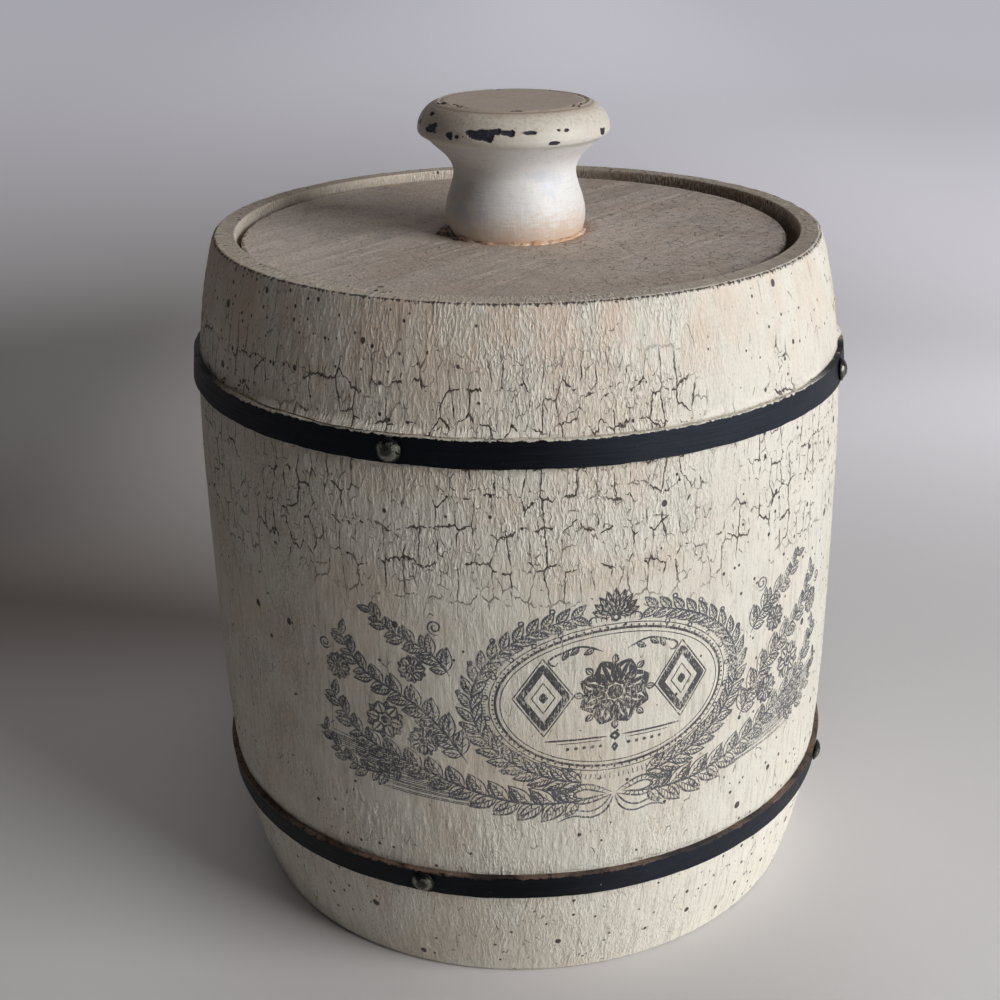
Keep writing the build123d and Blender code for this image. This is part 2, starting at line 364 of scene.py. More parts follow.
def paintedWall(mix):
    # cream brush paint on the keg, its pattern in millimetres round and up the wall
    place = mix.field("wallPlace")[0]
    aroundWall, _, up = mix.split(place)
    where = mix.node("CombineXYZ", X=aroundWall, Y=up).outputs[0]
    relief = mix.field("relief")[1]
    edgeWay = mix.field("edgeWay")[1]
    look = wallPaint

    slow = mix.noise(where, 0.045, 3.0, 0.55, 0.3, True)
    spots = mix.noise(mix.stretch(where, (1, 0.6, 1)), 0.2, 4.0, 0.6, 0.4, True)
    rub = mix.noise(mix.stretch(where, (1, 0.45, 1), (40, 9, 0)), 0.09, 4.0, 0.65, 0.2, True)
    mix.lay("warm", mix.ramp(slow, 0.42, 0.68))
    mix.lay("grey", mix.ramp(spots, 0.52, 0.74), 0.55)
    mix.lay("pink", mix.ramp(rub, 0.58, 0.76), 0.4)
    fromCalm = mix.apart(aroundWall, calm["middle"])
    busy = mix.ramp(fromCalm, calm["inner"], calm["outer"])
    mix.lay("calm", mix.ramp(busy, 0.0, 1.0, 0.6, 0.0))
    # painted light: the paint laid paler low down, from the front round to the right
    foot = mix.times(mix.fall(up, 12.0, 56.0), mix.ramp(aroundWall, -126.0, -80.0, 0.0, 0.9))
    mix.lay("foot", foot)
    rust = mix.times(mix.ramp(up, 122.0, 142.0), mix.ramp(rub, 0.36, 0.62))
    mix.lay("rust", rust, mix.ramp(busy, 0.0, 1.0, 0.3, 0.55))
    land = mix.times(mix.ramp(edgeWay, 0.1, 0.9), mix.ramp(up, 140.0, 145.8))
    shady = mix.times(mix.ramp(aroundWall, -80.0, -20.0), mix.fall(aroundWall, 140.0, 190.0))
    landColour = mix.mix(shady, look["land"], look["shadyLand"])
    mix.lay(landColour, land, 0.8)
    mottled = mix.ramp(mix.grain(where, (0.8, 0.5), (5, 8), 4.0, 0.7, 0.4), 0.5, 0.66)
    mix.lay("dirt", land, mottled, mix.ramp(aroundWall, -140.0, -30.0, 0.2, 0.6))
    # the rebate's inner wall: brown dirt, laid thicker towards the back right as painted shade
    wellDirtAndShade = mix.times(mix.ramp(up, 149.6, 150.6), mix.ramp(aroundWall, -80.0, 10.0, 0.15, 0.85))
    mix.lay("wellDirtAndShade", wellDirtAndShade, mix.ramp(rub, 0.3, 0.6, 0.6, 1.0))

    # painted highlight on the ridges and painted shade in the hollows, in the dirt colour; then streaks of
    # dirt and dark pits
    streak = mix.grain(where, (2.1, 0.7), (0, 0), 3.0, 0.6, 0.2)
    fine = mix.grain(where, (5.0, 1.1), (3, 7), 2.0, 0.55, 0.3)
    dimples = mix.grain(where, (1.9, 0.7), (2, 9), 2.0, 0.5, 0.15)
    threads = mix.grain(where, (1.3, 0.1), (6, 4), 3.0, 0.6, 0.1)
    fleece = mix.noise(mix.stretch(where, place=(8, 2, 0)), 0.07, 2.0, 0.5, 0.0, True)
    fleecy = mix.ramp(fleece, 0.35, 0.62, 0.35, 1.0)
    paperMiddle = np.radians(paper["azimuth"]) * middleRadius
    overPaper = mix.times(mix.less(aroundWall, paperMiddle), 1 / paper["halfWide"])
    upPaper = mix.times(mix.less(up, paper["height"]), 1 / paper["halfTall"])
    edgeOut = mix.add(mix.math("POWER", overPaper, 6.0), mix.math("POWER", upPaper, 6.0))
    onPaper = mix.fall(edgeOut, 0.3, 1.8)
    bumps = mix.times(mix.ramp(dimples, 0.45, 0.64), fleecy, mix.ramp(onPaper, 0.0, 1.0, 1.0, 0.3))
    bumps = mix.times(bumps, mix.ramp(busy, 0.0, 1.0, 0.25, 1.0), mix.ramp(up, 40.0, 95.0, 0.6, 1.0))
    # painted highlight: ridges and bumps laid paler
    mix.lay("paintedRidgeHighlight", mix.larger(mix.ramp(relief, 0.02, 0.2), bumps), 0.6)
    # painted shade: hollows laid darker
    hollow = mix.times(mix.fall(relief, -0.1, 0.02), mix.ramp(streak, 0.4, 0.7), 0.4)
    mix.lay("dirt", hollow)
    mix.lay("dirt", mix.ramp(fine, 0.56, 0.74), 0.24)
    combed = mix.times(mix.ramp(threads, 0.48, 0.68), mix.ramp(up, 84.0, 96.0, 0.22, 0.08))
    mix.lay("dirt", combed)
    pits = mix.grain(where, (3.6, 1.1), (9, 1), 2.0, 0.5, 0.2)
    pitShare = mix.times(fleecy, mix.ramp(onPaper, 0.0, 1.0, 1.0, 0.4), mix.ramp(busy, 0.0, 1.0, 0.3, 1.0))
    pitShare = mix.times(pitShare, 0.42)
    mix.lay("pit", mix.ramp(pits, 0.6, 0.68), pitShare)

    # crackle: tall stepped cells in a band either side of the upper hoop, and stray cracks elsewhere
    band = mix.times(mix.ramp(up, 84.0, 96.0), mix.fall(up, 133.0, 140.0))
    cloudy = mix.noise(mix.stretch(where, place=(11, 3, 0)), 0.06, 2.0, 0.5, 0.0, True)
    calmer = mix.times(mix.fall(busy, 0.0, 1.0), mix.ramp(up, 112.0, 124.0, 0.04, 0.26))
    patches = mix.ramp(mix.less(cloudy, calmer), 0.28, 0.44)
    keep = mix.times(band, patches)
    mainCrack = cracked(mix, mix.stretch(where, (1.0, 0.5, 1)), 3.3, look["crackWidth"], 0.8, 0.35, 0.2, 0.6)
    smallCrack = cracked(mix, mix.stretch(where, (1.0, 0.48, 1), (17, 5, 0)), 1.8, 0.18, 0.5, 0.3, 0.16, 0.62)
    hair = cracked(mix, mix.stretch(where, (1.0, 0.3, 1), (7, 31, 0)), 2.6, 0.16, 0.2, 0.4, 0.14, 0.8)
    crack = mix.larger(mix.times(mainCrack, keep), mix.times(smallCrack, keep, 0.7))
    crack = mix.larger(crack, mix.times(hair, 0.7))
    crack = mix.times(crack, mix.fall(up, 144.9, 145.4))
    mix.lay("crack", crack, 0.95)

    # spatter, denser near the rim on the left and low down on the right
    left = mix.times(mix.ramp(aroundWall, -150.0, -118.0, 0.6, 0.0), mix.ramp(up, 110.0, 142.0))
    right = mix.times(mix.ramp(aroundWall, -84.0, -44.0, 0.0, 0.42), mix.ramp(up, 60.0, 80.0, 1.0, 0.7))
    clouds = mix.ramp(mix.noise(where, 0.05, 2.0, 0.5, 0.0, True), 0.42, 0.72, 0.01, 0.14)
    share = mix.add(clouds, left, right, mix.ramp(up, 30.0, 46.0, 0.12, 0.0))
    share = mix.times(share, mix.ramp(up, 148.0, 150.0, 1.0, 0.15))
    tallDots = mix.stretch(where, (1, 0.9, 1))
    small = dotted(mix, tallDots, 1.9, 0.07, 0.42, share)
    large = dotted(mix, mix.stretch(tallDots, place=(4.7, 2.2, 0)), 5.2, 0.3, 0.85, share)
    speck = mix.larger(small, large)
    mix.lay("speck", speck, 0.93)

    # paint worn off the outer edges in a thin ragged line, with blots under it here and there
    ragged = mix.grain(where, (1.1, 0.9), (0, 0), 5.0, 0.7, 0.3)
    reach = mix.ramp(ragged, 0.38, 0.76, -0.06, 0.95, "LINEAR")
    below = mix.times(mix.math("MINIMUM", edgeWay, 0.0), -0.95)
    above = mix.times(mix.larger(edgeWay, 0.0), 2.4)
    worn = mix.fall(mix.less(mix.add(below, above), reach), -0.12, 0.05)
    worn = mix.times(worn, mix.ramp(up, 70.0, 71.0, 0.3, 1.0))
    mix.lay("wear", worn, 0.92)

    # grime beside the hoops
    upperEdge = mix.apart(up, hoop["upperLow"] + hoop["width"] / 2)
    lowerEdge = mix.apart(up, hoop["lowerRise"] + hoop["width"] / 2)
    nearUpper = mix.times(mix.fall(upperEdge, 2.8, 4.6), 0.35)
    nearLower = mix.fall(lowerEdge, 2.8, 5.2)
    nearLower = mix.times(nearLower, mix.ramp(aroundWall, -100.0, -50.0, 0.6, 0.3))
    smear = mix.ramp(mix.grain(where, (0.35, 1.1), (5, 5), 4.0, 0.7, 0.4), 0.5, 0.68)
    grime = mix.times(mix.larger(nearUpper, nearLower), smear)
    mix.lay("dirt", grime)
    bleed = mix.ramp(mix.grain(where, (1.4, 1.0), (6, 2), 3.0, 0.6, 0.0), 0.42, 0.72, 0.02, 0.6)
    edgeGap = mix.math("MINIMUM", mix.apart(upperEdge, hoop["width"] / 2), lowerEdge)
    black = mix.fall(mix.less(edgeGap, bleed), -0.08, 0.03)
    hoopMiddle, hoopTop = hoop["upperLow"] + hoop["width"] / 2, hoop["upperLow"] + hoop["width"]
    black = mix.times(black, mix.ramp(up, hoopMiddle, hoopTop, 0.3, 0.16))
    mix.lay("speck", black)

    rough = mix.ramp(spots, 0.3, 0.7, 0.62, 0.78)
    grain = mix.add(mix.times(streak, 0.7), mix.times(fine, 0.5), mix.times(threads, -0.6))
    grain = mix.add(mix.times(grain, look["grainDepth"]), mix.times(bumps, look["ridgeDepth"]))
    height = mix.less(grain, mix.times(crack, look["crackDepth"]))
    height = mix.less(height, mix.times(worn, 0.12))
    height = mix.add(height, mix.times(speck, 0.05))
    return rough, mix.bump(height)


def staveMaterial():
    mix = Recipe("creamWallPaint", "cream", wallPaint)
    return mix.finish(*paintedWall(mix))


def inkMaterial(name, ink, wear):
    # printing ink over the same wall paint, rubbed away in specks
    mix = Recipe(name, "cream", wallPaint)
    _, normal = paintedWall(mix)
    place = mix.field("wallPlace")[0]
    aroundWall, _, up = mix.split(place)
    where = mix.node("CombineXYZ", X=aroundWall, Y=up).outputs[0]
    speckle = mix.grain(where, (2.6, 1.1), (0, 0), 4.0, 0.65, 0.2)
    cloud = mix.noise(where, 0.11, 2.0, 0.5, 0.0, True)
    rubbed = mix.ramp(mix.add(speckle, mix.times(cloud, 0.35)), 0.72 - wear * 0.1, 0.86 - wear * 0.1)
    relief = mix.ramp(mix.field("relief")[1], 0.1, 0.3)
    rubbed = mix.larger(rubbed, mix.times(relief, 0.4))
    mix.lay(ink, mix.ramp(rubbed, 0.0, 1.0, 0.93, 0.34))
    return mix.finish(0.7, normal)


def woodMaterial(name, pale, dark, spread):
    # straight-grained board: streaks drawn out along spread, rings of darker late wood, and pores
    mix = Recipe(name, pale)
    place = mix.place()
    drawn = mix.stretch(place, spread)
    bands = mix.noise(drawn, 0.35, 4.0, 0.6, 1.2)
    rings = mix.math("FRACT", mix.times(bands, 6.0))
    pores = mix.noise(mix.stretch(drawn, (3.2, 3.2, 3.2)), 1.0, 3.0, 0.6)
    patches = mix.noise(place, 0.03, 3.0, 0.5)
    mix.lay(dark, mix.ramp(rings, 0.2, 0.95))
    mix.lay(shade(70, 48, 30), mix.ramp(pores, 0.56, 0.7), 0.5)
    mix.lay(shade(150, 138, 118), mix.ramp(patches, 0.5, 0.72), 0.4)
    rough = mix.ramp(pores, 0.3, 0.7, 0.6, 0.82)
    height = mix.add(mix.times(pores, -0.12), mix.times(rings, 0.05))
    return mix.finish(rough, mix.bump(height))


lidPaint = {
    "base": shade(208, 197, 186),
    "warm": shade(200, 185, 171),
    # paler paint for painted light on the lid's left
    "paintedLightLeft": shade(234, 223, 212),
    "cool": shade(180, 173, 168),
    "scratch": shade(226, 217, 204),
    "dark": shade(124, 110, 98),
    "crack": shade(78, 66, 58),
    "speck": shade(48, 42, 42),
    "stain": shade(148, 112, 86),
}


def lidMaterial():
    # greyer brush paint, with straight strokes and scratches one way, squiggly cracks and specks
    mix = Recipe("greyLidPaint", "base", lidPaint)
    place = mix.place()
    lineAngle = np.radians(-lid["strokeAngle"])
    turned = mix.stretch(place, spin=(0, 0, lineAngle))
    strokes = mix.noise(mix.stretch(turned, (0.05, 1.5, 0.3)), 1.0, 4.0, 0.6, 0.15)
    scratches = mix.noise(mix.stretch(turned, (0.045, 2.6, 0.3), (3, 1, 0)), 1.0, 2.0, 0.5, 0.1)
    slow = mix.noise(place, 0.035, 3.0, 0.55, 0.2)
    blots = mix.noise(place, 0.12, 4.0, 0.6, 0.3)
    mix.lay("warm", mix.ramp(slow, 0.4, 0.65))
    east, north, _ = mix.split(place)
    # painted light: the lid's left laid paler
    mix.lay("paintedLightLeft", mix.ramp(east, -50.0, -25.0, 0.75, 0.0))
    mix.lay("cool", mix.ramp(blots, 0.5, 0.7), 0.6)
    mix.lay("dark", mix.ramp(strokes, 0.5, 0.75), 0.35)
    lighter = mix.times(mix.ramp(scratches, 0.62, 0.74), mix.ramp(slow, 0.35, 0.6, 1.0, 0.4), 0.6)
    mix.lay("scratch", lighter)
    crumbs = mix.noise(place, 1.5, 3.0, 0.6, 0.2)
    mix.lay("dark", mix.ramp(crumbs, 0.52, 0.7), 0.55)
    mix.lay("scratch", mix.fall(crumbs, 0.3, 0.44), 0.3)
    eastSquare = mix.math("POWER", mix.less(east, lid["x"]), 2.0)
    fromKnob = mix.math("SQRT", mix.add(eastSquare, mix.math("POWER", north, 2.0)))
    sides = mix.ramp(mix.apart(east, lid["x"]), 8.0, 14.0, 0.25, 0.8)
    stain = mix.times(mix.fall(mix.add(fromKnob, mix.times(blots, 8.0)), 18.0, 22.5), sides)
    mix.lay("stain", stain)

    where = mix.stretch(place, (1, 1, 0))
    squiggle = cracked(mix, where, 3.2, 0.3, 0.75, 1.8, 0.3, 1.0)
    clustered = mix.ramp(mix.noise(where, 0.035, 2.0), 0.42, 0.6)
    clustered = mix.larger(clustered, mix.ramp(east, -5.0, 25.0, 0.0, 0.8))
    squiggle = mix.times(squiggle, mix.ramp(east, -30.0, 25.0, 0.3, 1.0), clustered)
    fineCrack = cracked(mix, mix.stretch(where, place=(9, 4, 0)), 1.6, 0.16, 0.5, 0.8, 0.25, 1.0)
    crack = mix.larger(squiggle, mix.times(fineCrack, 0.5))
    mix.lay("crack", crack, 0.85)
    share = mix.ramp(slow, 0.35, 0.65, 0.05, 0.2)
    small = dotted(mix, where, 2.3, 0.07, 0.34, share)
    large = dotted(mix, mix.stretch(where, place=(3.1, 8.2, 0)), 7.5, 0.3, 0.7, mix.times(share, 0.7))
    speck = mix.larger(small, large)
    mix.lay("speck", speck, 0.85)

    ragged = mix.noise(mix.stretch(place, (1, 1, 0.3)), 0.7, 4.0, 0.6)
    edge = mix.field("edgeWay")[1]
    reach = mix.ramp(ragged, 0.4, 0.7, -0.3, 1.0, "LINEAR")
    worn = mix.ramp(mix.less(edge, reach), -0.1, 0.1, 0.8, 0.0)
    mix.lay("dark", worn)
    height = mix.add(mix.times(strokes, 0.07), mix.times(scratches, 0.06))
    height = mix.add(height, mix.times(crumbs, -0.2), mix.times(crack, -0.14))
    return mix.finish(mix.ramp(blots, 0.3, 0.7, 0.5, 0.68), mix.bump(height))


knobPaint = {
    "cap": shade(212, 206, 193),
    "capDirt": shade(160, 138, 116),
    "capTop": shade(194, 178, 160),
    "stem": shade(234, 233, 231),
    "blue": shade(200, 209, 226),
    "grime": shade(176, 168, 158),
    "tan": shade(208, 178, 150),
    # paler tan, the stain with painted light on the knob's left
    "tanStainPaintedLight": shade(240, 226, 208),
    "chip": shade(30, 30, 42),
    "rim": shade(104, 80, 62),
    "speck": shade(60, 54, 54),
}


def knobMaterial():
    # cream cap and cool white stem under old gloss, chipped through to dark paint, stained tan at the foot
    mix = Recipe("chippedKnobPaint", "stem", knobPaint)
    look = knobPaint
    place = mix.place()
    height = mix.less(mix.split(place)[2], lid["top"])
    cloud = mix.noise(place, 0.09, 3.0, 0.5, 0.3)
    grain = mix.noise(mix.stretch(place, (0.5, 0.5, 1.6)), 1.0, 4.0, 0.6, 0.2)
    climb = mix.add(height, mix.times(mix.less(cloud, 0.5), 3.0))
    mix.lay("cap", mix.ramp(climb, 19.0, 22.0))
    mix.lay("capTop", mix.ramp(climb, 25.4, 27.0), 0.85)
    blue = mix.times(mix.ramp(cloud, 0.52, 0.68), mix.ramp(height, 16.0, 19.0, 0.7, 0.0))
    mix.lay("blue", blue)
    streaks = mix.noise(mix.stretch(place, (0.9, 0.9, 0.22), (1, 4, 0)), 1.0, 4.0, 0.65, 0.3)
    onStem = mix.fall(height, 17.0, 20.0)
    rubs = mix.noise(mix.stretch(place, (0.3, 0.3, 2.4), (1, 4, 2)), 1.0, 3.0, 0.6, 0.2)
    marks = mix.larger(mix.ramp(streaks, 0.56, 0.76, 0.0, 0.2), mix.ramp(rubs, 0.54, 0.76, 0.0, 0.3))
    mix.lay("grime", marks, onStem)
    capDirt = mix.ramp(mix.noise(place, 1.4, 4.0, 0.65), 0.48, 0.66)
    capDirt = mix.times(capDirt, mix.ramp(climb, 22.6, 25.0, 0.12, 0.42))
    mix.lay("capDirt", capDirt, mix.less(1.0, onStem))
    stain = mix.fall(mix.add(height, mix.times(mix.less(grain, 0.5), 9.0)), 0.6, 8.4)
    east = mix.less(mix.split(place)[0], lid["x"])
    # the tan stain, laid paler on the knob's shaded left as painted light
    tan = mix.mix(mix.ramp(east, -12.0, 0.0), look["tanStainPaintedLight"], look["tan"])
    mix.lay(tan, stain, 0.75)
    scuff = mix.ramp(mix.noise(mix.stretch(place, (0.7, 0.7, 2.2), (5, 1, 2)), 1.0, 4.0, 0.65), 0.6, 0.75)
    mix.lay("tan", scuff, 0.3)
    ring = mix.fall(mix.apart(height, knob["height"] - 0.35), 0.0, 0.2)
    mix.lay("rim", ring, mix.ramp(height, 26.0, 26.4), 0.5)

    specks = dotted(mix, place, 3.2, 0.06, 0.3, 0.12, False)
    mix.lay("speck", specks, 0.8)
    jag = mix.noise(place, 2.2, 4.0, 0.65)
    chip = mix.add(mix.field("chipped")[1], mix.times(mix.less(jag, 0.5), 0.5))
    mix.lay("rim", mix.ramp(chip, -0.12, 0.0))
    gone = mix.ramp(chip, 0.0, 0.05)
    mix.lay("chip", gone)
    lumps = mix.add(mix.times(grain, 0.08), mix.times(streaks, 0.09))
    lumps = mix.add(lumps, mix.times(jag, 0.02), mix.times(gone, -0.1))
    rough = mix.add(mix.ramp(streaks, 0.3, 0.7, 0.4, 0.56), mix.times(gone, 0.15))
    return mix.finish(rough, mix.bump(lumps), Coat_Weight=0.06, Coat_Roughness=0.3)


# paint heaped on the upper hoop's upper edge: how high, how wide, and on each stretch the angle of its middle
# and how many degrees from there it starts to fade and ends
paintRidge = {
    "all": 0.7,
    "uneven": 0.3,
    "reach": 0.6,
    "above": 0.4,
    "stretches": [(-90.0, 48.0, 64.0), (8.0, 14.0, 20.0)],
    "start": -128.0,
    "end": -104.0,
    "height": 0.3,
}
hoopPaint = {
    "black": shade(4, 4, 6),
    "faded": shade(16, 18, 24),
    # paler bluish black for a painted sheen on the front right
    "paintedSheen": shade(44, 47, 56),
    "brown": shade(118, 98, 86),
    "bare": shade(112, 104, 96),
    "cream": shade(190, 182, 166),
    "wall": shade(222, 216, 202),
    "fleck": shade(178, 174, 164),
}


def hoopMaterial():
    # black paint on strip, streaked along it, with pale flecks, cream dabs at the edges and worn corners
    mix = Recipe("wornBlackHoopPaint", "black", hoopPaint)
    look = hoopPaint
    strip = mix.field("strip")[0]
    turned, across, _ = mix.split(strip)
    place = mix.place()
    isUpper = mix.ramp(mix.split(place)[2], 60.0, 61.0)
    streaks = mix.noise(mix.stretch(place, (0.12, 0.12, 3.0)), 1.0, 4.0, 0.6, 0.2)
    cloud = mix.noise(place, 0.07, 3.0, 0.5)
    mix.lay("faded", mix.ramp(streaks, 0.46, 0.72), mix.ramp(cloud, 0.35, 0.65))
    # painted reflection: the black laid paler and bluer round the front right, as a sheen of the light from
    # that side
    paintedSheen = mix.fall(mix.apart(turned, 307.0), 16.0, 40.0)
    mix.lay("paintedSheen", paintedSheen, mix.ramp(streaks, 0.3, 0.6, 0.5, 0.8))
    flecks = dotted(mix, place, 3.0, 0.13, 0.4, 0.32, False)
    ticks = dotted(mix, mix.stretch(place, (1, 1, 0.4), (3, 3, 3)), 3.4, 0.1, 0.24, 0.14, False)
    mix.lay("fleck", mix.larger(flecks, ticks), 0.75)
    toEdge = mix.math("MINIMUM", across, mix.less(hoop["width"], across))
    ragged = mix.noise(mix.stretch(place, (0.8, 0.8, 1.2), (2, 2, 2)), 1.0, 4.0, 0.65)
    dab = mix.fall(mix.less(toEdge, mix.ramp(ragged, 0.52, 0.8, -0.3, 0.6, "LINEAR")), -0.08, 0.05)
    mix.lay("cream", dab, mix.ramp(cloud, 0.42, 0.58), 0.85)
    upEdge = mix.ramp(mix.add(across, mix.times(ragged, 1.3)), hoop["width"] + 0.4, hoop["width"] + 0.5)
    dusty = mix.ramp(mix.noise(place, 1.3, 3.0, 0.6), 0.42, 0.62)
    wall = mix.mix(mix.times(dusty, 0.55), look["wall"], look["bare"])
    heaped = 0.0
    for middle, inner, outer in paintRidge["stretches"]:
        near = mix.math("COSINE", mix.times(mix.less(turned, middle), turn / 360))
        heaped = mix.add(heaped, mix.ramp(near, np.cos(np.radians(outer)), np.cos(np.radians(inner))))
    mix.lay(wall, upEdge, isUpper, heaped)
    scuffed = mix.ramp(mix.add(across, mix.times(ragged, 2.4)), hoop["width"] + 0.78, hoop["width"] + 1.1)
    onLower = mix.times(scuffed, mix.less(1.0, isUpper), mix.ramp(cloud, 0.42, 0.56, 0.2, 0.85))
    mix.lay("brown", onLower)
    scrape = mix.ramp(mix.noise(mix.stretch(place, (0.35, 0.35, 2.6), (8, 1, 4)), 1.0, 5.0, 0.7), 0.66, 0.76)
    mix.lay("bare", scrape, 0.6)
    height = mix.add(mix.times(streaks, 0.07), mix.times(ragged, 0.05), mix.times(scrape, -0.03))
    rough = mix.ramp(streaks, 0.35, 0.7, 0.44, 0.56)
    shine = {"Specular_IOR_Level": 0.14, "Specular_Tint": (0.7, 0.86, 1.0, 1.0)}
    return mix.finish(rough, mix.bump(height), **shine)


nailMetal = {
    # paler rubbed steel, laid in a ring as painted reflection
    "worn": shade(118, 120, 108),
    "dull": shade(50, 52, 45),
    "scrap": shade(14, 14, 16),
    # brightest steel, for painted glints on the ring
    "paintedGlint": shade(172, 174, 162),
}


def nailMaterial():
    # dull steel with a paler ring and glints near the edge, painted reflection on rubbed metal, a dark middle
    # and scraps of black paint
    mix = Recipe("wornNailSteel", "dull", nailMetal)
    place = mix.place()
    way = mix.field("headWay")[1]
    blot = mix.noise(place, 0.9, 4.0, 0.6)
    fine = mix.noise(place, 3.2, 3.0, 0.6)
    # painted reflection: a paler ring round the dome, broken up by rubbed patches
    ring = mix.times(mix.ramp(way, 0.2, 0.62), mix.ramp(way, 0.76, 0.98, 0.75, 0.15))
    rubbed = mix.add(ring, mix.times(mix.less(blot, 0.5), 1.7))
    mix.lay("worn", mix.ramp(rubbed, 0.25, 0.8))
    mix.lay("paintedGlint", mix.ramp(mix.add(rubbed, mix.times(fine, 0.6)), 1.05, 1.35))
    upper = mix.ramp(mix.add(mix.field("headUp")[1], mix.times(mix.less(blot, 0.5), 1.5)), 0.42, 0.52)
    scrap = mix.larger(upper, mix.ramp(mix.add(blot, mix.times(fine, 0.25)), 0.68, 0.74))
    mix.lay("scrap", scrap)
    rough = mix.ramp(fine, 0.3, 0.7, 0.2, 0.42)
    height = mix.add(mix.times(blot, 0.14), mix.times(fine, 0.05))
    return mix.finish(rough, mix.bump(height), Metallic=0.75)


def screwMaterial():
    # plain steel, finely ribbed round the screw's line, with dull spots
    mix = Recipe("plainScrewSteel", shade(188, 186, 180))
    place = mix.place()
    ribs = mix.noise(mix.stretch(place, (0.4, 0.4, 6.0)), 1.0, 2.0, 0.5)
    spots = mix.noise(place, 0.8, 4.0, 0.6)
    mix.lay(shade(122, 112, 98), mix.ramp(spots, 0.45, 0.7))
    rough = mix.ramp(spots, 0.35, 0.7, 0.28, 0.5)
    return mix.finish(rough, mix.bump(mix.times(ribs, 0.04)), Metallic=1.0)


def glueMaterial():
    # yellowed glue: tan to orange, shiny, with white crumbs and dirt in it
    mix = Recipe("yellowedGlue", shade(220, 190, 160))
    place = mix.place()
    cloud = mix.noise(place, 0.22, 4.0, 0.6, 0.3)
    dirt = mix.noise(place, 0.7, 4.0, 0.65)
    mix.lay(shade(194, 142, 100), mix.ramp(cloud, 0.42, 0.66))
    mix.lay(shade(124, 96, 76), mix.ramp(dirt, 0.56, 0.64), 0.7)
    oneSide = mix.fall(mix.split(place)[0], -12.6, -9.0)
    mix.lay(shade(46, 34, 30), oneSide, mix.ramp(dirt, 0.34, 0.5, 0.4, 0.95))
    crumbs = dotted(mix, place, 1.6, 0.15, 0.5, 0.2, False)
    mix.lay(shade(232, 222, 206), crumbs, 0.8)
    height = mix.add(mix.times(cloud, 0.2), mix.times(crumbs, 0.1))
    return mix.finish(mix.ramp(cloud, 0.3, 0.7, 0.3, 0.5), mix.bump(height), Coat_Weight=0.2)


# keg wall: twelve staves, painted over outside
keg = {
    "height": 146.0,
    "endRadius": 63.7,
    "swell": 6.3,  # how far the middle stands out beyond the ends
    "power": 3.7,  # high: the ends turn in late
    "innerFace": 54.0,
    "rebateRadius": 59.2,
    "ledgeHeight": 135.2,
    "crozeRadius": 57.5,
    "crozeLow": 7.0,
    "crozeHigh": 13.1,
    "edgeRound": 0.9,
    "staves": 12,
    "firstJoint": -95.0,
    "seamAngle": 85.0,  # the joint at the back where the paint's pattern starts and ends
    "columns": 140,  # over one stave
    "rowStep": 0.62,
    "paintSink": 0.1,  # the mean surface of the paint inside the turned outline
}
brush = {
    "strokeWidth": 0.2,  # reach of the noise that makes the ridges, across and along them
    "strokeLength": 0.36,
    "strokeHeight": 0.088,
    "sway": 0.2,
    "swayReach": 1.0,
    "lumpHeight": 0.022,
    "lumpReach": 0.6,
    "highest": 0.3,
}
# where the print lies on the wall: its middle, half its width round it and half its height; smoother paint
paper = {"azimuth": -76.0, "height": 69.0, "halfWide": 63.0, "halfTall": 26.0, "smooth": 0.6}
# a calmer stretch of the wall: its middle and the half widths where it ends, in millimetres round the wall
calm = {"middle": -44.0, "inner": 18.0, "outer": 42.0, "left": 0.4}
rimWear = {"biteDepth": 0.13, "downBite": 0.6, "biteReach": 1.1, "biteLength": 1.6, "calm": 0.6}
hoop = {"width": 5.4, "thickness": 1.2, "fit": 0.05, "upperDrop": 23.3, "lowerRise": 23.6}
hoop["upperLow"] = keg["height"] - hoop["upperDrop"] - hoop["width"]
middleRadius = keg["endRadius"] + keg["swell"]


def kegRadius(height):
    # widest half way up, less by a power of the distance from there
    share = np.abs(height / (keg["height"] / 2) - 1)
    return keg["endRadius"] + keg["swell"] * (1 - share ** keg["power"])


wallColumns = keg["columns"] * keg["staves"]
wallRows = int(keg["height"] / keg["rowStep"]) + 1
columnStep = turn * middleRadius / wallColumns


def sinceSeam(angle):
    # brings an angle between the seam less a whole turn and the seam, as the wall's pattern runs
    start = keg["seamAngle"] - 360
    return (angle - start) % 360 + start


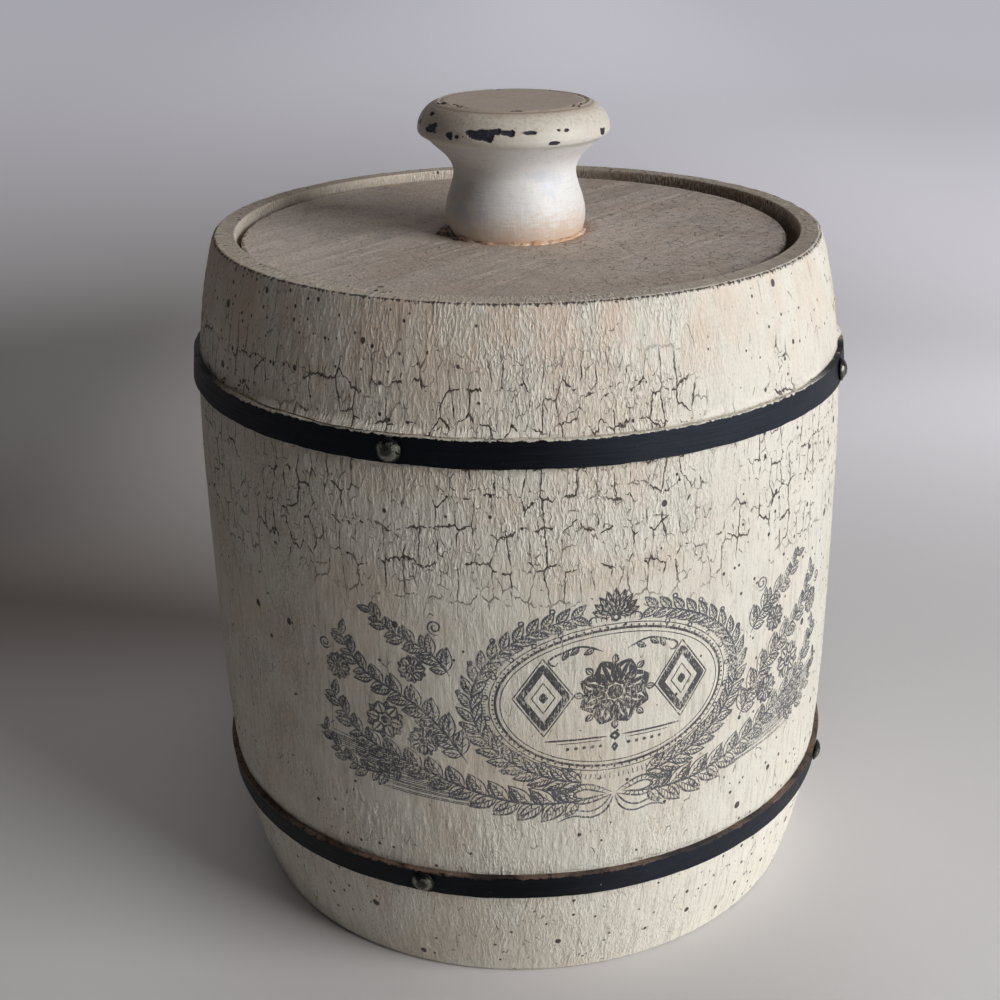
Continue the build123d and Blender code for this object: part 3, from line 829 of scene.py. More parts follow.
def brushedPaint():
    # noise drawn out upwards and swayed sideways, whose upper part stands out as ridges, on slow low lumps
    shape = (wallRows, wallColumns)
    row, column = np.meshgrid(np.arange(wallRows), np.arange(wallColumns), indexing="ij")
    along, across = brush["strokeLength"] / keg["rowStep"], brush["strokeWidth"] / columnStep
    wide = brush["swayReach"]
    sway = blurredNoise(shape, (wide / keg["rowStep"], wide / columnStep), 3) * brush["sway"] / columnStep
    ridges = sampleField(blurredNoise(shape, (along, across), 5), row, column + sway)
    finer = sampleField(blurredNoise(shape, (along * 0.5, across * 0.6), 6), row, column + sway)
    reach = brush["lumpReach"]
    lumps = blurredNoise(shape, (reach * 2 / keg["rowStep"], reach / columnStep), 7) * brush["lumpHeight"]
    places = blurredNoise(shape, (9 / keg["rowStep"], 7 / columnStep), 8)
    strength = 0.45 + 0.55 * rise(places, -1.2, 0.9)
    away = keg["firstJoint"] - paper["azimuth"] + column / wallColumns * 360
    aroundWall = np.radians(turnedFrom(away, 0)) * middleRadius / paper["halfWide"]
    up = (row * keg["rowStep"] - paper["height"]) / paper["halfTall"]
    strength = strength * (1 - paper["smooth"] * (1 - rise(aroundWall**6 + up**6, 0.3, 1.8)))
    fromCalm = np.radians(sinceSeam(keg["firstJoint"] + column / wallColumns * 360)) * middleRadius
    aside = np.abs(fromCalm - calm["middle"])
    strength = strength * (calm["left"] + (1 - calm["left"]) * rise(aside, calm["inner"], calm["outer"]))
    raised = np.clip(ridges - 0.3, 0, None) + 0.4 * np.clip(finer - 0.4, 0, None)
    return np.minimum(raised * strength * brush["strokeHeight"] + lumps, brush["highest"])


paintField = brushedPaint()
biteField = blurredNoise((8, wallColumns), (1, rimWear["biteLength"] / columnStep), 9)


def wallRelief(angle, height):
    # height of the paint over its mean surface, heaped here and there on the upper hoop's upper edge
    column = (angle - keg["firstJoint"]) / 360 * wallColumns
    relief = sampleField(paintField, height / keg["rowStep"], column)
    over = (height - hoop["upperLow"] - hoop["width"] - paintRidge["above"]) / paintRidge["reach"]
    aroundWall = sinceSeam(angle)
    stretch = rise(aroundWall, paintRidge["start"], paintRidge["start"] + 6)
    stretch = stretch * (1 - rise(aroundWall, paintRidge["end"] - 6, paintRidge["end"]))
    uneven = np.clip(sampleField(biteField, 0 * column + 5, column), -1.6, 1.2)
    heap = paintRidge["all"] + paintRidge["uneven"] * uneven
    heaped = 0
    for middle, inner, outer in paintRidge["stretches"]:
        near = np.cos(np.radians(angle - middle))
        heaped = heaped + rise(near, np.cos(np.radians(outer)), np.cos(np.radians(inner)))
    return relief + (heap * heaped + paintRidge["height"] * stretch) * np.exp(-(over**2))


def cornerRound(start, corner, end, count=6):
    # a quadratic Bezier curve from start towards, but not at, end
    t = (np.arange(count) / count)[:, None]
    return (1 - t) ** 2 * np.array(start) + 2 * t * (1 - t) * np.array(corner) + t * t * np.array(end)


def staveSection():
    # closed path round a stave's section. Each row is (a, b, height): the radius there is a + b * inner face
    top, low, roundness = keg["height"], 0.0, keg["edgeRound"]
    foot, rim = kegRadius(low), kegRadius(top)
    side = np.arange(roundness, top - roundness, keg["rowStep"])
    land, wall, ledge = foot - roundness, keg["rebateRadius"], keg["ledgeHeight"]
    croze, lowCroze, highCroze = keg["crozeRadius"], keg["crozeLow"], keg["crozeHigh"]
    fixed = [
        cornerRound((land, low), (foot, low), (kegRadius(roundness), roundness)),
        np.stack([kegRadius(side), side], 1),
        cornerRound((kegRadius(top - roundness), top - roundness), (rim, top), (rim - roundness, top)),
        straight((rim - roundness, top), (wall + 0.3, top), 0.35),
        cornerRound((wall + 0.3, top), (wall, top), (wall, top - 0.3), 3),
        straight((wall, top - 0.3), (wall, ledge), 1.2),
    ]
    outer = np.concatenate(fixed)
    outer = np.stack([outer[:, 0], 0 * outer[:, 0], outer[:, 1]], 1)
    inner = [
        ((wall, 0, ledge), (0, 1, ledge), 3),
        ((0, 1, ledge), (0, 1, highCroze), 8),
        ((0, 1, highCroze), (croze, 0, highCroze), 2),
        ((croze, 0, highCroze), (croze, 0, lowCroze), 3),
        ((croze, 0, lowCroze), (0, 1, lowCroze), 2),
        ((0, 1, lowCroze), (0, 1, low), 3),
        ((0, 1, low), (land, 0, low), 4),
    ]
    legs = [np.linspace(start, end, count, endpoint=False) for start, end, count in inner]
    sizes = [len(block) for block in fixed]
    return np.concatenate([outer] + legs), sizes


def makeStave(number, finishes):
    section, sizes = staveSection()
    first = keg["firstJoint"] + 360 / keg["staves"] * (number - 1)
    middle = first + 180 / keg["staves"]
    angle = first + 360 / wallColumns * np.arange(keg["columns"] + 1)[None, :]
    height = np.repeat(section[:, 2:], angle.shape[1], 1)
    inner = keg["innerFace"] / np.cos(np.radians(angle - middle))
    radius = section[:, :1] + section[:, 1:2] * inner

    # path length from the rim's outer corner and from the foot's, whichever is nearer, less below the corner
    rimRow = sizes[0] + sizes[1] + sizes[2] // 2
    footRow = sizes[0] // 2
    outerRows = sum(sizes[:3])
    flat = np.stack([section[:, 0], section[:, 2]], 1)
    way = np.concatenate([[0], np.cumsum(np.hypot(*np.diff(flat, axis=0).T))])
    fromRim, fromFoot = way - way[rimRow], way[footRow] - way
    edgeWay = np.where(np.abs(fromRim) < np.abs(fromFoot), fromRim, -fromFoot)
    edgeWay[outerRows + sizes[3] :] = 60.0
    edgeWay = np.repeat(edgeWay[:, None], angle.shape[1], 1)

    # the paint's relief stands out of the side and up from the rim's level top, and the corner is bitten. The
    # pattern's own height is the height up the side, and past the rim's corner runs on with the path
    patternUp = np.where(np.arange(len(way)) < outerRows, flat[:, 1], keg["height"] + way - way[outerRows])
    patternUp = np.repeat(patternUp[:, None], angle.shape[1], 1)
    column = np.broadcast_to((angle - keg["firstJoint"]) / 360 * wallColumns, height.shape)
    relief = wallRelief(np.broadcast_to(angle, height.shape), patternUp)
    relief = relief * (1 - rimWear["calm"] * np.exp(-((edgeWay / rimWear["biteReach"]) ** 2)))
    onSide = np.zeros(len(section))
    onSide[footRow : sizes[0] + sizes[1] + sizes[2]] = 1.0
    onLand = np.zeros(len(section))
    onLand[outerRows : outerRows + sizes[3]] = 0.6
    bite = rimWear["biteDepth"] * rise(sampleField(biteField, 0 * column + 2, column), 0.2, 1.8)
    bite = bite * np.exp(-((edgeWay / rimWear["biteReach"]) ** 2)) * (height > keg["height"] / 2)
    radius = radius + onSide[:, None] * (relief - keg["paintSink"]) - bite
    height = height + onLand[:, None] * (relief - keg["paintSink"])
    height = height - rimWear["downBite"] * bite * (onSide + onLand > 0)[:, None]

    points = aroundAxis(radius, np.broadcast_to(angle, radius.shape), height).reshape(-1, 3)
    rows, columns = radius.shape
    index = np.arange(rows * columns).reshape(rows, columns)
    quads = gridFaces(rows, columns, wrapRows=True)
    faces = [quads, index[:, 0][None, :], index[::-1, -1][None, :]]
    painted = np.repeat(np.arange(rows) < sum(sizes), columns - 1)
    finishOf = np.concatenate([np.where(painted, 0, 1), [1, 1]])
    wrapped = angle - 360 if middle > keg["seamAngle"] else angle
    arc = np.broadcast_to(np.radians(wrapped) * middleRadius, height.shape)
    fields = {
        "wallPlace": np.stack([arc, radius, patternUp], -1).reshape(-1, 3),
        "relief": (relief * (onSide[:, None] + onLand[:, None])).ravel(),
        "edgeWay": edgeWay.ravel(),
    }
    name = f"stave_{number:02d}"
    piece = makePiece(f"painted_{name}", points, faces, finishes, fields, finishOf)
    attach(piece, "keg")
    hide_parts(name)


# hoops: strip with eased corners, leaning with the keg's side
hoopLook = {"columns": 960, "corner": 0.18, "waver": 0.06, "nick": 0.05, "dent": 0.035, "clearance": 0.02}


def makeHoop(name, low, seed, finish):
    # the strip's section, carried round the keg; its edges waver and its face is slightly dented
    high, out, corner = low + hoop["width"], hoop["thickness"] + hoop["fit"], hoopLook["corner"]
    foot, head = kegRadius(low), kegRadius(high)
    slope = (head - foot) / (high - low)
    face = [(foot + out + slope * corner, low + corner), (head + out - slope * corner, high - corner)]
    inside = np.linspace(high, low, 4)
    section = np.concatenate(
        [
            cornerRound((foot + out - corner, low), (foot + out, low), face[0], 4),
            straight(face[0], face[1], 0.5),
            cornerRound(face[1], (head + out, high), (head + out - corner, high), 4),
            straight((head + out - corner, high), (head + hoop["fit"] + corner, high), 0.4),
            np.stack([kegRadius(inside) + hoop["fit"], inside], 1),
            straight((foot + hoop["fit"] + corner, low), (foot + out - corner, low), 0.4),
        ]
    )
    angle = np.arange(hoopLook["columns"]) * 360 / hoopLook["columns"]
    waver = blurredNoise((2, len(angle)), (0.5, 9), seed) * hoopLook["waver"]
    waver += np.clip(blurredNoise((2, len(angle)), (0.5, 1.6), seed + 2), -0.6, 1.6) * hoopLook["nick"]
    dents = blurredNoise((len(section), len(angle)), (2, 5), seed + 1) * hoopLook["dent"]
    share = ((section[:, 1] - low) / (high - low))[:, None]
    outside = rise(section[:, 0] - kegRadius(section[:, 1]), 0.5, out)[:, None]
    height = section[:, 1:] + waver[0] * (1 - share) + waver[1] * share
    radius = section[:, :1] - outside * (np.clip(dents, 0, None) + hoopLook["clearance"])
    points = aroundAxis(radius, angle[None, :], height).reshape(-1, 3)
    strip = np.stack(np.broadcast_arrays(angle[None, :], share * hoop["width"], 0 * radius), -1)
    fields = {"strip": strip.reshape(-1, 3)}
    piece = makePiece(f"painted_{name}", points, [gridFaces(*radius.shape, True, True)], [finish], fields)
    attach(piece, "keg")
    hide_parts(name)


# hoop nails
nail = {
    "count": 4,
    "first": -110.0,
    "lowerTurn": 2.0,
    "headRadius": 2.4,
    "edge": 0.3,
    "height": 1.3,
    "shank": 0.75,
    "length": 9.0,
    "point": 2.0,
    "fit": 0.05,
    "columns": 56,
    "dent": 0.07,
}


def makeNails(name, height, angleTurn, seed, finish):
    # a cap of a sphere on a short edge, then the shank, turned round the nail's own line; dents lower the cap
    domeRise = nail["height"] - nail["edge"]
    ball = (nail["headRadius"] ** 2 + domeRise**2) / (2 * domeRise)
    radius = np.linspace(0.1, nail["headRadius"] - 0.06, 22)
    dome = np.stack([radius, nail["edge"] + np.sqrt(ball**2 - radius**2) - ball + domeRise], 1)
    full = nail["headRadius"]
    lower = [(full, nail["edge"]), (full, 0.03), (full - 0.08, -0.02)]
    lower += [(nail["shank"], -0.02), (nail["shank"], nail["point"] - nail["length"])]
    section = np.concatenate([dome, lower])
    rows, columns = len(section), nail["columns"]
    spin = np.arange(columns) * turn / columns
    soft = blurredNoise((rows * nail["count"], columns), (2.2, 4.5), seed)
    soft = soft.reshape(nail["count"], rows, columns)
    onDome = (np.arange(rows) < len(dome))[None, :, None]
    sink = onDome * np.clip(np.clip(soft, 0, None) * nail["dent"], 0, 0.25)
    across = np.broadcast_to(section[None, :, :1], soft.shape)
    up = section[None, :, 1:] - sink

    angle = np.radians(nail["first"] + angleTurn + 360 / nail["count"] * np.arange(nail["count"]))
    step = hoop["width"] / 2
    lean = np.arctan2(kegRadius(height - step) - kegRadius(height + step), 2 * step)
    out = kegRadius(height) + hoop["fit"] + hoop["thickness"] + nail["fit"]
    flat = np.stack([np.cos(angle), np.sin(angle), 0 * angle], 1)
    side = np.stack([-np.sin(angle), np.cos(angle), 0 * angle], 1)
    outward = flat * np.cos(lean) + np.array([0, 0, 1]) * np.sin(lean)
    over = np.cross(outward, side)
    origin = flat * out + np.array([0, 0, height])

    def place(x, y, z):
        spread = [origin, side, over, outward]
        start, a, b, c = [block.reshape(nail["count"], 1, 1, 3) for block in spread]
        return start + a * x[..., None] + b * y[..., None] + c * z[..., None]

    rings = place(across * np.cos(spin), across * np.sin(spin), up)
    zero = np.zeros((nail["count"], 1, 1))
    tip = place(zero, zero, zero + nail["height"] - sink[:, :1].mean(2, keepdims=True))
    end = place(zero, zero, zero - nail["length"])
    each = rows * columns + 2
    block = np.concatenate([rings.reshape(nail["count"], -1, 3), tip[:, 0], end[:, 0]], 1).reshape(-1, 3)
    offset = (np.arange(nail["count"]) * each)[:, None, None]
    firstRing, lastRing = np.arange(columns), np.arange(columns) + (rows - 1) * columns
    quads = gridFaces(rows, columns, wrapColumns=True)
    poles = [poleFaces(each - 2, firstRing, True), poleFaces(each - 1, lastRing)]
    faces = [(part[None] + offset).reshape(-1, part.shape[1]) for part in [quads] + poles]
    way = np.where(onDome[0], section[:, :1] / nail["headRadius"], 1.0) * np.ones((rows, columns))
    headUp = np.concatenate([(way * np.sin(spin)).ravel(), [0.0, 0.0]])
    way = np.concatenate([way.ravel(), [0.0, 1.0]])
    fields = {"headWay": np.tile(way, nail["count"]), "headUp": np.tile(headUp, nail["count"])}
    piece = makePiece(f"worn_{name}", block, faces, [finish], fields, sharpAbove=60)
    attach(piece, "keg")
    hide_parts(name)


# lid
lidLow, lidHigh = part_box("lid_disc")
lid = {
    "x": (lidLow.x + lidHigh.x) / 2 / mm,
    "low": lidLow.z / mm,
    "top": lidHigh.z / mm,
    "radius": (lidHigh.x - lidLow.x) / 2 / mm,
    "edgeRound": 0.6,
    "underChamfer": 1.0,
    "hole": 2.2,
    "sinkRadius": 4.3,
    "columns": 600,
    "strokeAngle": 51.0,
    "strokeHeight": 0.045,
    "fieldStep": 0.25,
}


def lidRelief(x, y):
    # brush ridges drawn out along one straight direction, and slow dips
    angle = np.radians(lid["strokeAngle"])
    along = (x * np.cos(angle) + y * np.sin(angle)) / lid["fieldStep"]
    across = (y * np.cos(angle) - x * np.sin(angle)) / lid["fieldStep"]
    shape = (640, 640)
    strokes = sampleField(blurredNoise(shape, (34, 1.5), 21), along, across)
    broad = sampleField(blurredNoise(shape, (60, 8), 22), along, across)
    lumps = sampleField(blurredNoise(shape, (5, 5), 23), along, across)
    return lid["strokeHeight"] * (np.clip(strokes, -0.6, None) + 0.8 * broad + 0.6 * lumps)


def makeLid(finishes):
    # closed path round the disc's section, from the screw's hole out over the top and back underneath
    thick, edge, under = lid["top"] - lid["low"], lid["edgeRound"], lid["underChamfer"]
    radius, hole, sink = lid["radius"], lid["hole"], lid["sinkRadius"]
    blocks = [
        straight((hole, thick), (radius - edge, thick), 0.63),
        cornerRound((radius - edge, thick), (radius, thick), (radius, thick - edge), 4),
        straight((radius, thick - edge), (radius, under), 0.9),
        straight((radius, under), (radius - under, 0), 0.7),
        straight((radius - under, 0), (sink, 0), 5.0),
        straight((sink, 0), (hole, sink - hole), 1.0),
        straight((hole, sink - hole), (hole, thick), 2.0),
    ]
    section = np.concatenate(blocks)
    angle = np.arange(lid["columns"]) * 360 / lid["columns"]
    points = aroundAxis(section[:, :1], angle[None, :], section[:, 1:] + 0 * angle[None, :])
    onTop = np.zeros(len(section))
    onTop[: len(blocks[0])] = rise(radius - blocks[0][:, 0], 0.0, 2.0)
    points[..., 2] += onTop[:, None] * np.clip(lidRelief(points[..., 0], points[..., 1]), -0.2, 0.2)
    edgeWay = np.full(section.shape[0], 60.0)
    edgeWay[: len(blocks[0])] = radius - blocks[0][:, 0]
    edgeWay[len(blocks[0]) : len(blocks[0]) + len(blocks[1]) + 2] = 0.0
    points += np.array([lid["x"], 0, lid["low"]])
    painted = np.repeat(np.arange(len(section)) < sum(len(block) for block in blocks[:4]), len(angle))
    fields = {"edgeWay": np.repeat(edgeWay, len(angle))}
    quads = gridFaces(len(section), len(angle), True, True)
    slots = np.where(painted, 0, 1)
    piece = makePiece("painted_lid_disc", points.reshape(-1, 3), [quads], finishes, fields, slots)
    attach(piece, "lid")
    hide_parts("lid_disc")


# knob
knob = {
    "height": 27.0,
    "topRadius": 15.6,
    "capRadius": 20.0,
    "capHeight": 21.4,
    "waistRadius": 12.9,
    "waistHeight": 13.5,
    "swellRadius": 14.8,
    "swellHeight": 4.2,
    "footRadius": 14.1,
    "ringAt": 15.1,
    "ringWidth": 0.35,
    "ringDepth": 0.3,
    "hole": 2.2,
    "holeDepth": 15.1,
    "columns": 560,
    "chipDepth": 0.3,
    "seed": 31,
    "edgeChips": 34,
    "topChips": 20,
}
# each chip: angle, radius and height on the knob, half its width round the knob, half its height
knobChips = [
    (-111, 19.8, 23.0, 2.9, 0.95),
    (-106, 19.6, 23.5, 2.2, 0.7),
    (-116, 19.6, 23.4, 1.5, 0.6),
    (-146, 19.7, 23.1, 1.5, 0.95),
    (-151, 19.8, 22.6, 0.8, 0.5),
    (-129, 19.9, 22.5, 0.9, 1.0),
    (-125, 19.9, 22.2, 0.6, 0.4),
    (-93, 19.6, 23.3, 1.2, 0.6),
    (-81, 19.6, 23.4, 1.2, 0.4),
    (-63, 19.5, 23.6, 0.5, 0.3),
    (-58, 19.6, 23.5, 0.5, 0.35),
    (-25, 19.9, 21.9, 0.9, 0.7),
    (-67, 19.9, 21.2, 1.5, 0.35),
    (-145, 13.4, 27.0, 2.2, 0.5),
    (-136, 14.2, 27.0, 1.6, 0.35),
    (166, 16.4, 26.6, 1.3, 0.5),
    (-154, 18.4, 25.2, 0.9, 0.5),
    (-87, 14.6, 27.0, 1.2, 0.35),
    (-68, 15.3, 27.0, 1.4, 0.35),
    (-31, 14.2, 27.0, 0.7, 0.3),
    (-22, 14.8, 27.0, 0.6, 0.3),
]


def knobSection():
    # smooth curves through the turned shape's widest, narrowest and lowest places
    top, cap = (knob["topRadius"], knob["height"]), (knob["capRadius"], knob["capHeight"])
    crown = [top, (17.55, 26.05), (19.15, 24.25), (19.85, 22.7), cap]
    stem = [cap, (19.72, 20.72), (18.7, 20.05), (16.6, 18.35), (14.1, 15.9)]
    stem += [(knob["waistRadius"], knob["waistHeight"] - 0.4), (13.25, 10.4), (14.3, 7.0)]
    stem += [(knob["swellRadius"], knob["swellHeight"]), (14.6, 1.6), (knob["footRadius"], 0.0)]
    flat = straight((0.3, knob["height"]), top, 0.34)
    groove = np.exp(-(((flat[:, 0] - knob["ringAt"]) / knob["ringWidth"]) ** 2))
    flat[:, 1] -= knob["ringDepth"] * groove
    hollow = [
        straight((knob["footRadius"], 0), (knob["hole"], 0), 2.0),
        straight((knob["hole"], 0), (knob["hole"], knob["holeDepth"]), 3.0),
    ]
    outside = [flat, smoothThrough(crown, 0.22)[:-1], smoothThrough(stem, 0.3)[:-1]]
    return np.concatenate(outside + hollow), sum(len(block) for block in outside)


def makeKnob(finishes):
    # the section turned round the knob's line, with chips sunk at their places, by a ragged distance
    section, outsideRows = knobSection()
    angle = np.arange(knob["columns"]) * 360 / knob["columns"]
    rng = np.random.default_rng(knob["seed"])
    edgeChips = np.stack(
        [
            rng.uniform(-180, 180, knob["edgeChips"]),
            np.full(knob["edgeChips"], 19.8),
            rng.uniform(21.4, 24.4, knob["edgeChips"]),
            rng.gamma(2.0, 0.22, knob["edgeChips"]),
            rng.gamma(2.0, 0.13, knob["edgeChips"]),
        ],
        1,
    )
    # the same draws again, larger and elsewhere, lie along the ring in the top
    stretched, shift = np.array([1, 0, 0, 1.2, 1.2]), np.array([131, 15.2, knob["height"], 0, 0])
    topChips = edgeChips[: knob["topChips"]] * stretched + shift
    chips = np.concatenate([np.array(knobChips), edgeChips, topChips])
    radius, height = section[:, :1], section[:, 1:]
    ragged = blurredNoise((len(section), len(angle)), (2.0, 3.0), knob["seed"] + 1)
    fine = blurredNoise((len(section), len(angle)), (0.8, 1.2), knob["seed"] + 2)
    chipped = np.full(ragged.shape, -9.0)
    for at, chipRadius, chipHeight, halfWide, halfTall in chips:
        along = np.radians(turnedFrom(angle[None, :], at)) * radius / halfWide
        across = np.hypot(radius - chipRadius, height - chipHeight) / halfTall
        chipped = np.maximum(chipped, 1 - np.hypot(along, across))
    chipped = chipped + 0.24 * ragged + 0.16 * fine
    chipped[outsideRows:] = -9
    depth = knob["chipDepth"] * rise(chipped, 0.0, 0.25)
    slope = np.gradient(section, axis=0)
    normal = np.stack([-slope[:, 1], slope[:, 0]], 1) / np.hypot(*slope.T)[:, None]
    normal[outsideRows:] = 0
    wobble = blurredNoise((len(section), len(angle)), (6, 30), knob["seed"] + 3) * 0.03
    wobble[outsideRows:] = 0
    newRadius = radius + normal[:, :1] * (wobble - depth)
    newHeight = height + normal[:, 1:] * (wobble - depth)
    newHeight = np.minimum(newHeight, knob["height"])
    points = aroundAxis(newRadius, angle[None, :], newHeight).reshape(-1, 3)
    poles = np.array([[0, 0, knob["height"]], [0, 0, knob["holeDepth"]]])
    points = np.concatenate([points, poles]) + np.array([lid["x"], 0, lid["top"]])
    rows, columns = newRadius.shape
    quads = gridFaces(rows, columns, wrapColumns=True)
    ring = np.arange(columns)
    lastRing = ring + (rows - 1) * columns
    faces = [quads, poleFaces(len(points) - 2, ring, True), poleFaces(len(points) - 1, lastRing)]
    outside = np.repeat(np.arange(rows - 1) < outsideRows - 1, columns)
    painted = np.concatenate([outside, np.ones(columns), np.zeros(columns)])
    fields = {"chipped": np.append(chipped.ravel(), [-9, -9])}
    slots = np.where(painted > 0, 0, 1)
    piece = makePiece("painted_knob", points, faces, finishes, fields, slots, sharpAbove=60)
    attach(piece, "lid")
    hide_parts("knob")


# glue round the knob's foot
glue = {
    "radius": 14.45,
    "width": 0.75,
    "height": 0.5,
    "columns": 420,
    "section": 14,
    "mostAt": -62.0,
    "spread": 52.0,
    "blobAt": -162.0,
    "blobSpread": 17.0,
}


def makeGlue(finish):
    # a half round bead, thick on one side of the knob, thin on the others and in a rough blob at one place
    angle = np.arange(glue["columns"]) * 360 / glue["columns"]
    spin = np.arange(glue["section"])[:, None] * turn / glue["section"]
    lumps = blurredNoise((2, len(angle)), (0.4, 4.5), 41)
    runs = blurredNoise((2, len(angle)), (0.4, 1.6), 42)
    near = np.exp(-((turnedFrom(angle, glue["mostAt"]) / glue["spread"]) ** 2))
    blob = np.exp(-((turnedFrom(angle, glue["blobAt"]) / glue["blobSpread"]) ** 2))
    swell = np.clip(0.35 + 0.75 * near + 0.2 * lumps[0] + 0.1 * runs[0], 0.12, 1.5)
    swell = swell + blob * np.maximum(2.9 + 0.7 * runs[0] + 0.6 * lumps[0], 0.4)
    tall = np.clip(0.5 + 0.8 * near + 0.2 * lumps[1] + 0.14 * runs[1], 0.15, 1.7)
    tall = tall + blob * np.maximum(2.3 + 0.8 * runs[1] + 0.9 * lumps[1], 0.4)
    radius = glue["radius"] + glue["width"] * swell * np.cos(spin)
    height = lid["top"] - 0.05 + glue["height"] * tall * np.maximum(np.sin(spin), -0.3)
    points = aroundAxis(radius, angle[None, :] + 0 * spin, height, (lid["x"], 0)).reshape(-1, 3)
    faces = [gridFaces(*radius.shape, True, True)]
    piece = makePiece("squeezed_glue_bead", points, faces, [finish], sharpAbove=80)
    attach(piece, "lid")
    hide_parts("glue_bead")


# printed ornament: a wreath round a rosette and two lozenges, with a leafy spray either side
# Places are millimetres round and up the wall from the print's middle. A block of strokes is an array of
# paths, one stroke a row, and an array of widths along them.
printLook = {
    "step": 0.39,
    "crown": 0.05,  # how far the ink's middle stands over the paint
    "edge": 0.012,
    "under": 0.3,
    "highest": 0.355,
    "scale": 0.96,
}
wreath = {
    "wide": 29.0,
    "tall": 19.6,
    "pairs": 21,
    "start": -76.0,
    "end": 76.0,
    "length": 5.6,
    "width": 2.1,
    "lean": 33.0,
}
ovals = [(24.2, 15.6, 0.55), (23.2, 14.6, 0.22), (25.4, 16.7, 0.22)]
rosette = {"petals": 8, "start": 2.0, "end": 7.6, "width": 4.2, "line": 0.95}
lozenge = {"at": 14.6, "wide": 4.7, "tall": 6.9, "line": 1.5}
# each stem: its leaves, the longest one and the places it passes
stems = [
    (25, 7.2, [(4, -23.2), (17, -23.5), (32, -19.5), (44, -14.8), (54, -10.5), (60, -2.5)]),
    (17, 6.6, [(30, -14), (36.5, -5), (44, 0.5), (52, 4.5), (57, 12)]),
    (10, 5.6, [(33, 6), (38, 11.5), (44.5, 14.2), (49.5, 18.5)]),
    (9, 5.0, [(44, -17), (51, -19.5), (58, -17.5), (62.5, -12)]),
]
# of each flower on a spray: middle, size and turn
sprayFlowers = [((47.5, -6.2), 4.3, 10), ((39.2, -9.8), 3.3, 30), ((58.0, 3.8), 3.0, 0), ((41, 6.6), 3.0, 50)]


def curveBlock(path, width):
    # one stroke from its path, thinned towards both ends
    share = np.linspace(0, 1, len(path))
    ends = np.clip(np.minimum(share, 1 - share) / 0.12, 0, 1)
    return np.asarray(path, float)[None], (width * (0.25 + 0.75 * ends))[None]


def ringBlock(centre, wide, tall, width):
    # an oval drawn as one stroke whose end overlaps its start
    count = int(turn * max(wide, tall) / printLook["step"]) + 8
    t = np.linspace(0, turn * 1.01, count)
    path = np.asarray(centre) + (wide, tall) * onCircle(t)
    return path[None], np.full((1, count), float(width))


def dots(centres, radius, width, count, past=1.02):
    # a dot at each centre: a small ring of count points that runs past its start
    path = centres[:, None] + radius * onCircle(np.linspace(0, turn * past, count))[None]
    return path, np.full(path.shape[:2], width)


def leafBlocks(base, heading, length, width, line=0.27, hatch=6):
    # leaves: both sides bow out as a sine of the way along; a midrib; and slanting hatches over one half
    base, heading = np.asarray(base, float), np.radians(np.asarray(heading, float))
    length, width = np.broadcast_to(length, heading.shape), np.broadcast_to(width, heading.shape)

    def place(along, side, thick):
        # along and side are shares of the leaf's length and half width
        reach, out = along * length[:, None], side * width[:, None] / 2
        cos, sin = np.cos(heading)[:, None], np.sin(heading)[:, None]
        path = np.stack([reach * cos - out * sin, reach * sin + out * cos], -1) + base[:, None]
        return path, np.broadcast_to(thick, path.shape[:2])

    count = int(length.max() / printLook["step"]) + 3
    t = np.linspace(0, 1, count)[None, :]
    bow = np.sin(np.pi * t**0.8)
    thin = line * (0.45 + 0.9 * np.sin(np.pi * t))
    blocks = [place(t, bow, thin), place(t, -bow, thin * 1.5), place(t * 0.94, 0 * t, thin * 0.8)]
    short = np.linspace(0, 1, 4)[None, :]
    for k in range(hatch):
        at = (k + 1) / (hatch + 1.5)
        edge = np.sin(np.pi * (at + 0.16) ** 0.8)
        blocks.append(place(at + 0.16 * short, -short * edge * 0.95, np.full((1, 4), line * 0.8)))
        if k % 2:
            blocks.append(place(at + 0.16 * short, short * edge * 0.55, np.full((1, 4), line * 0.7)))
    return blocks


def alongCurve(path, shares):
    # points of a path and its headings, in degrees, at shares of its length
    way = np.concatenate([[0], np.cumsum(np.hypot(*np.diff(path, axis=0).T))])
    at = np.asarray(shares) * way[-1]
    behind, spot, ahead = [
        np.stack([np.interp(at + step, way, path[:, 0]), np.interp(at + step, way, path[:, 1])], -1)
        for step in (-0.3, 0, 0.3)
    ]
    return spot, np.degrees(np.arctan2(*(ahead - behind).T[::-1]))


def flipped(blocks):
    # the same strokes on the other side of the print's middle
    return [(path * np.array([-1, 1]), width) for path, width in blocks]


def wreathBlocks():
    # leaves in pairs and a berry between them, up one half of an oval from the bottom towards the top
    t = np.radians(np.linspace(wreath["start"], wreath["end"], 200))
    path = (wreath["wide"], wreath["tall"]) * onCircle(t)
    shares = np.linspace(0.0, 0.97, wreath["pairs"])
    spot, heading = alongCurve(path, shares)
    size = wreath["length"] * (1 - 0.28 * shares)
    broad = wreath["width"] * (1 - 0.2 * shares)
    rays = np.radians(np.arange(-88, 89, 2.2))[:, None]
    out = np.linspace(26.2, 27.4, 5)[None, :]
    ray = np.stack([out * np.cos(rays), (out - 8.6) * np.sin(rays)], -1)
    blocks = [curveBlock(path, 0.45), (ray, np.full(ray.shape[:2], 0.2))]
    blocks += leafBlocks(spot, heading + wreath["lean"], size, broad)
    blocks += leafBlocks(spot, heading - wreath["lean"], size, broad)
    outward = onCircle(np.radians(heading[1::2] + 90))
    return blocks + [dots(spot[1::2] + outward * 2.75 * side, 0.5, 0.36, 9, 1.03) for side in (-1, 1)]


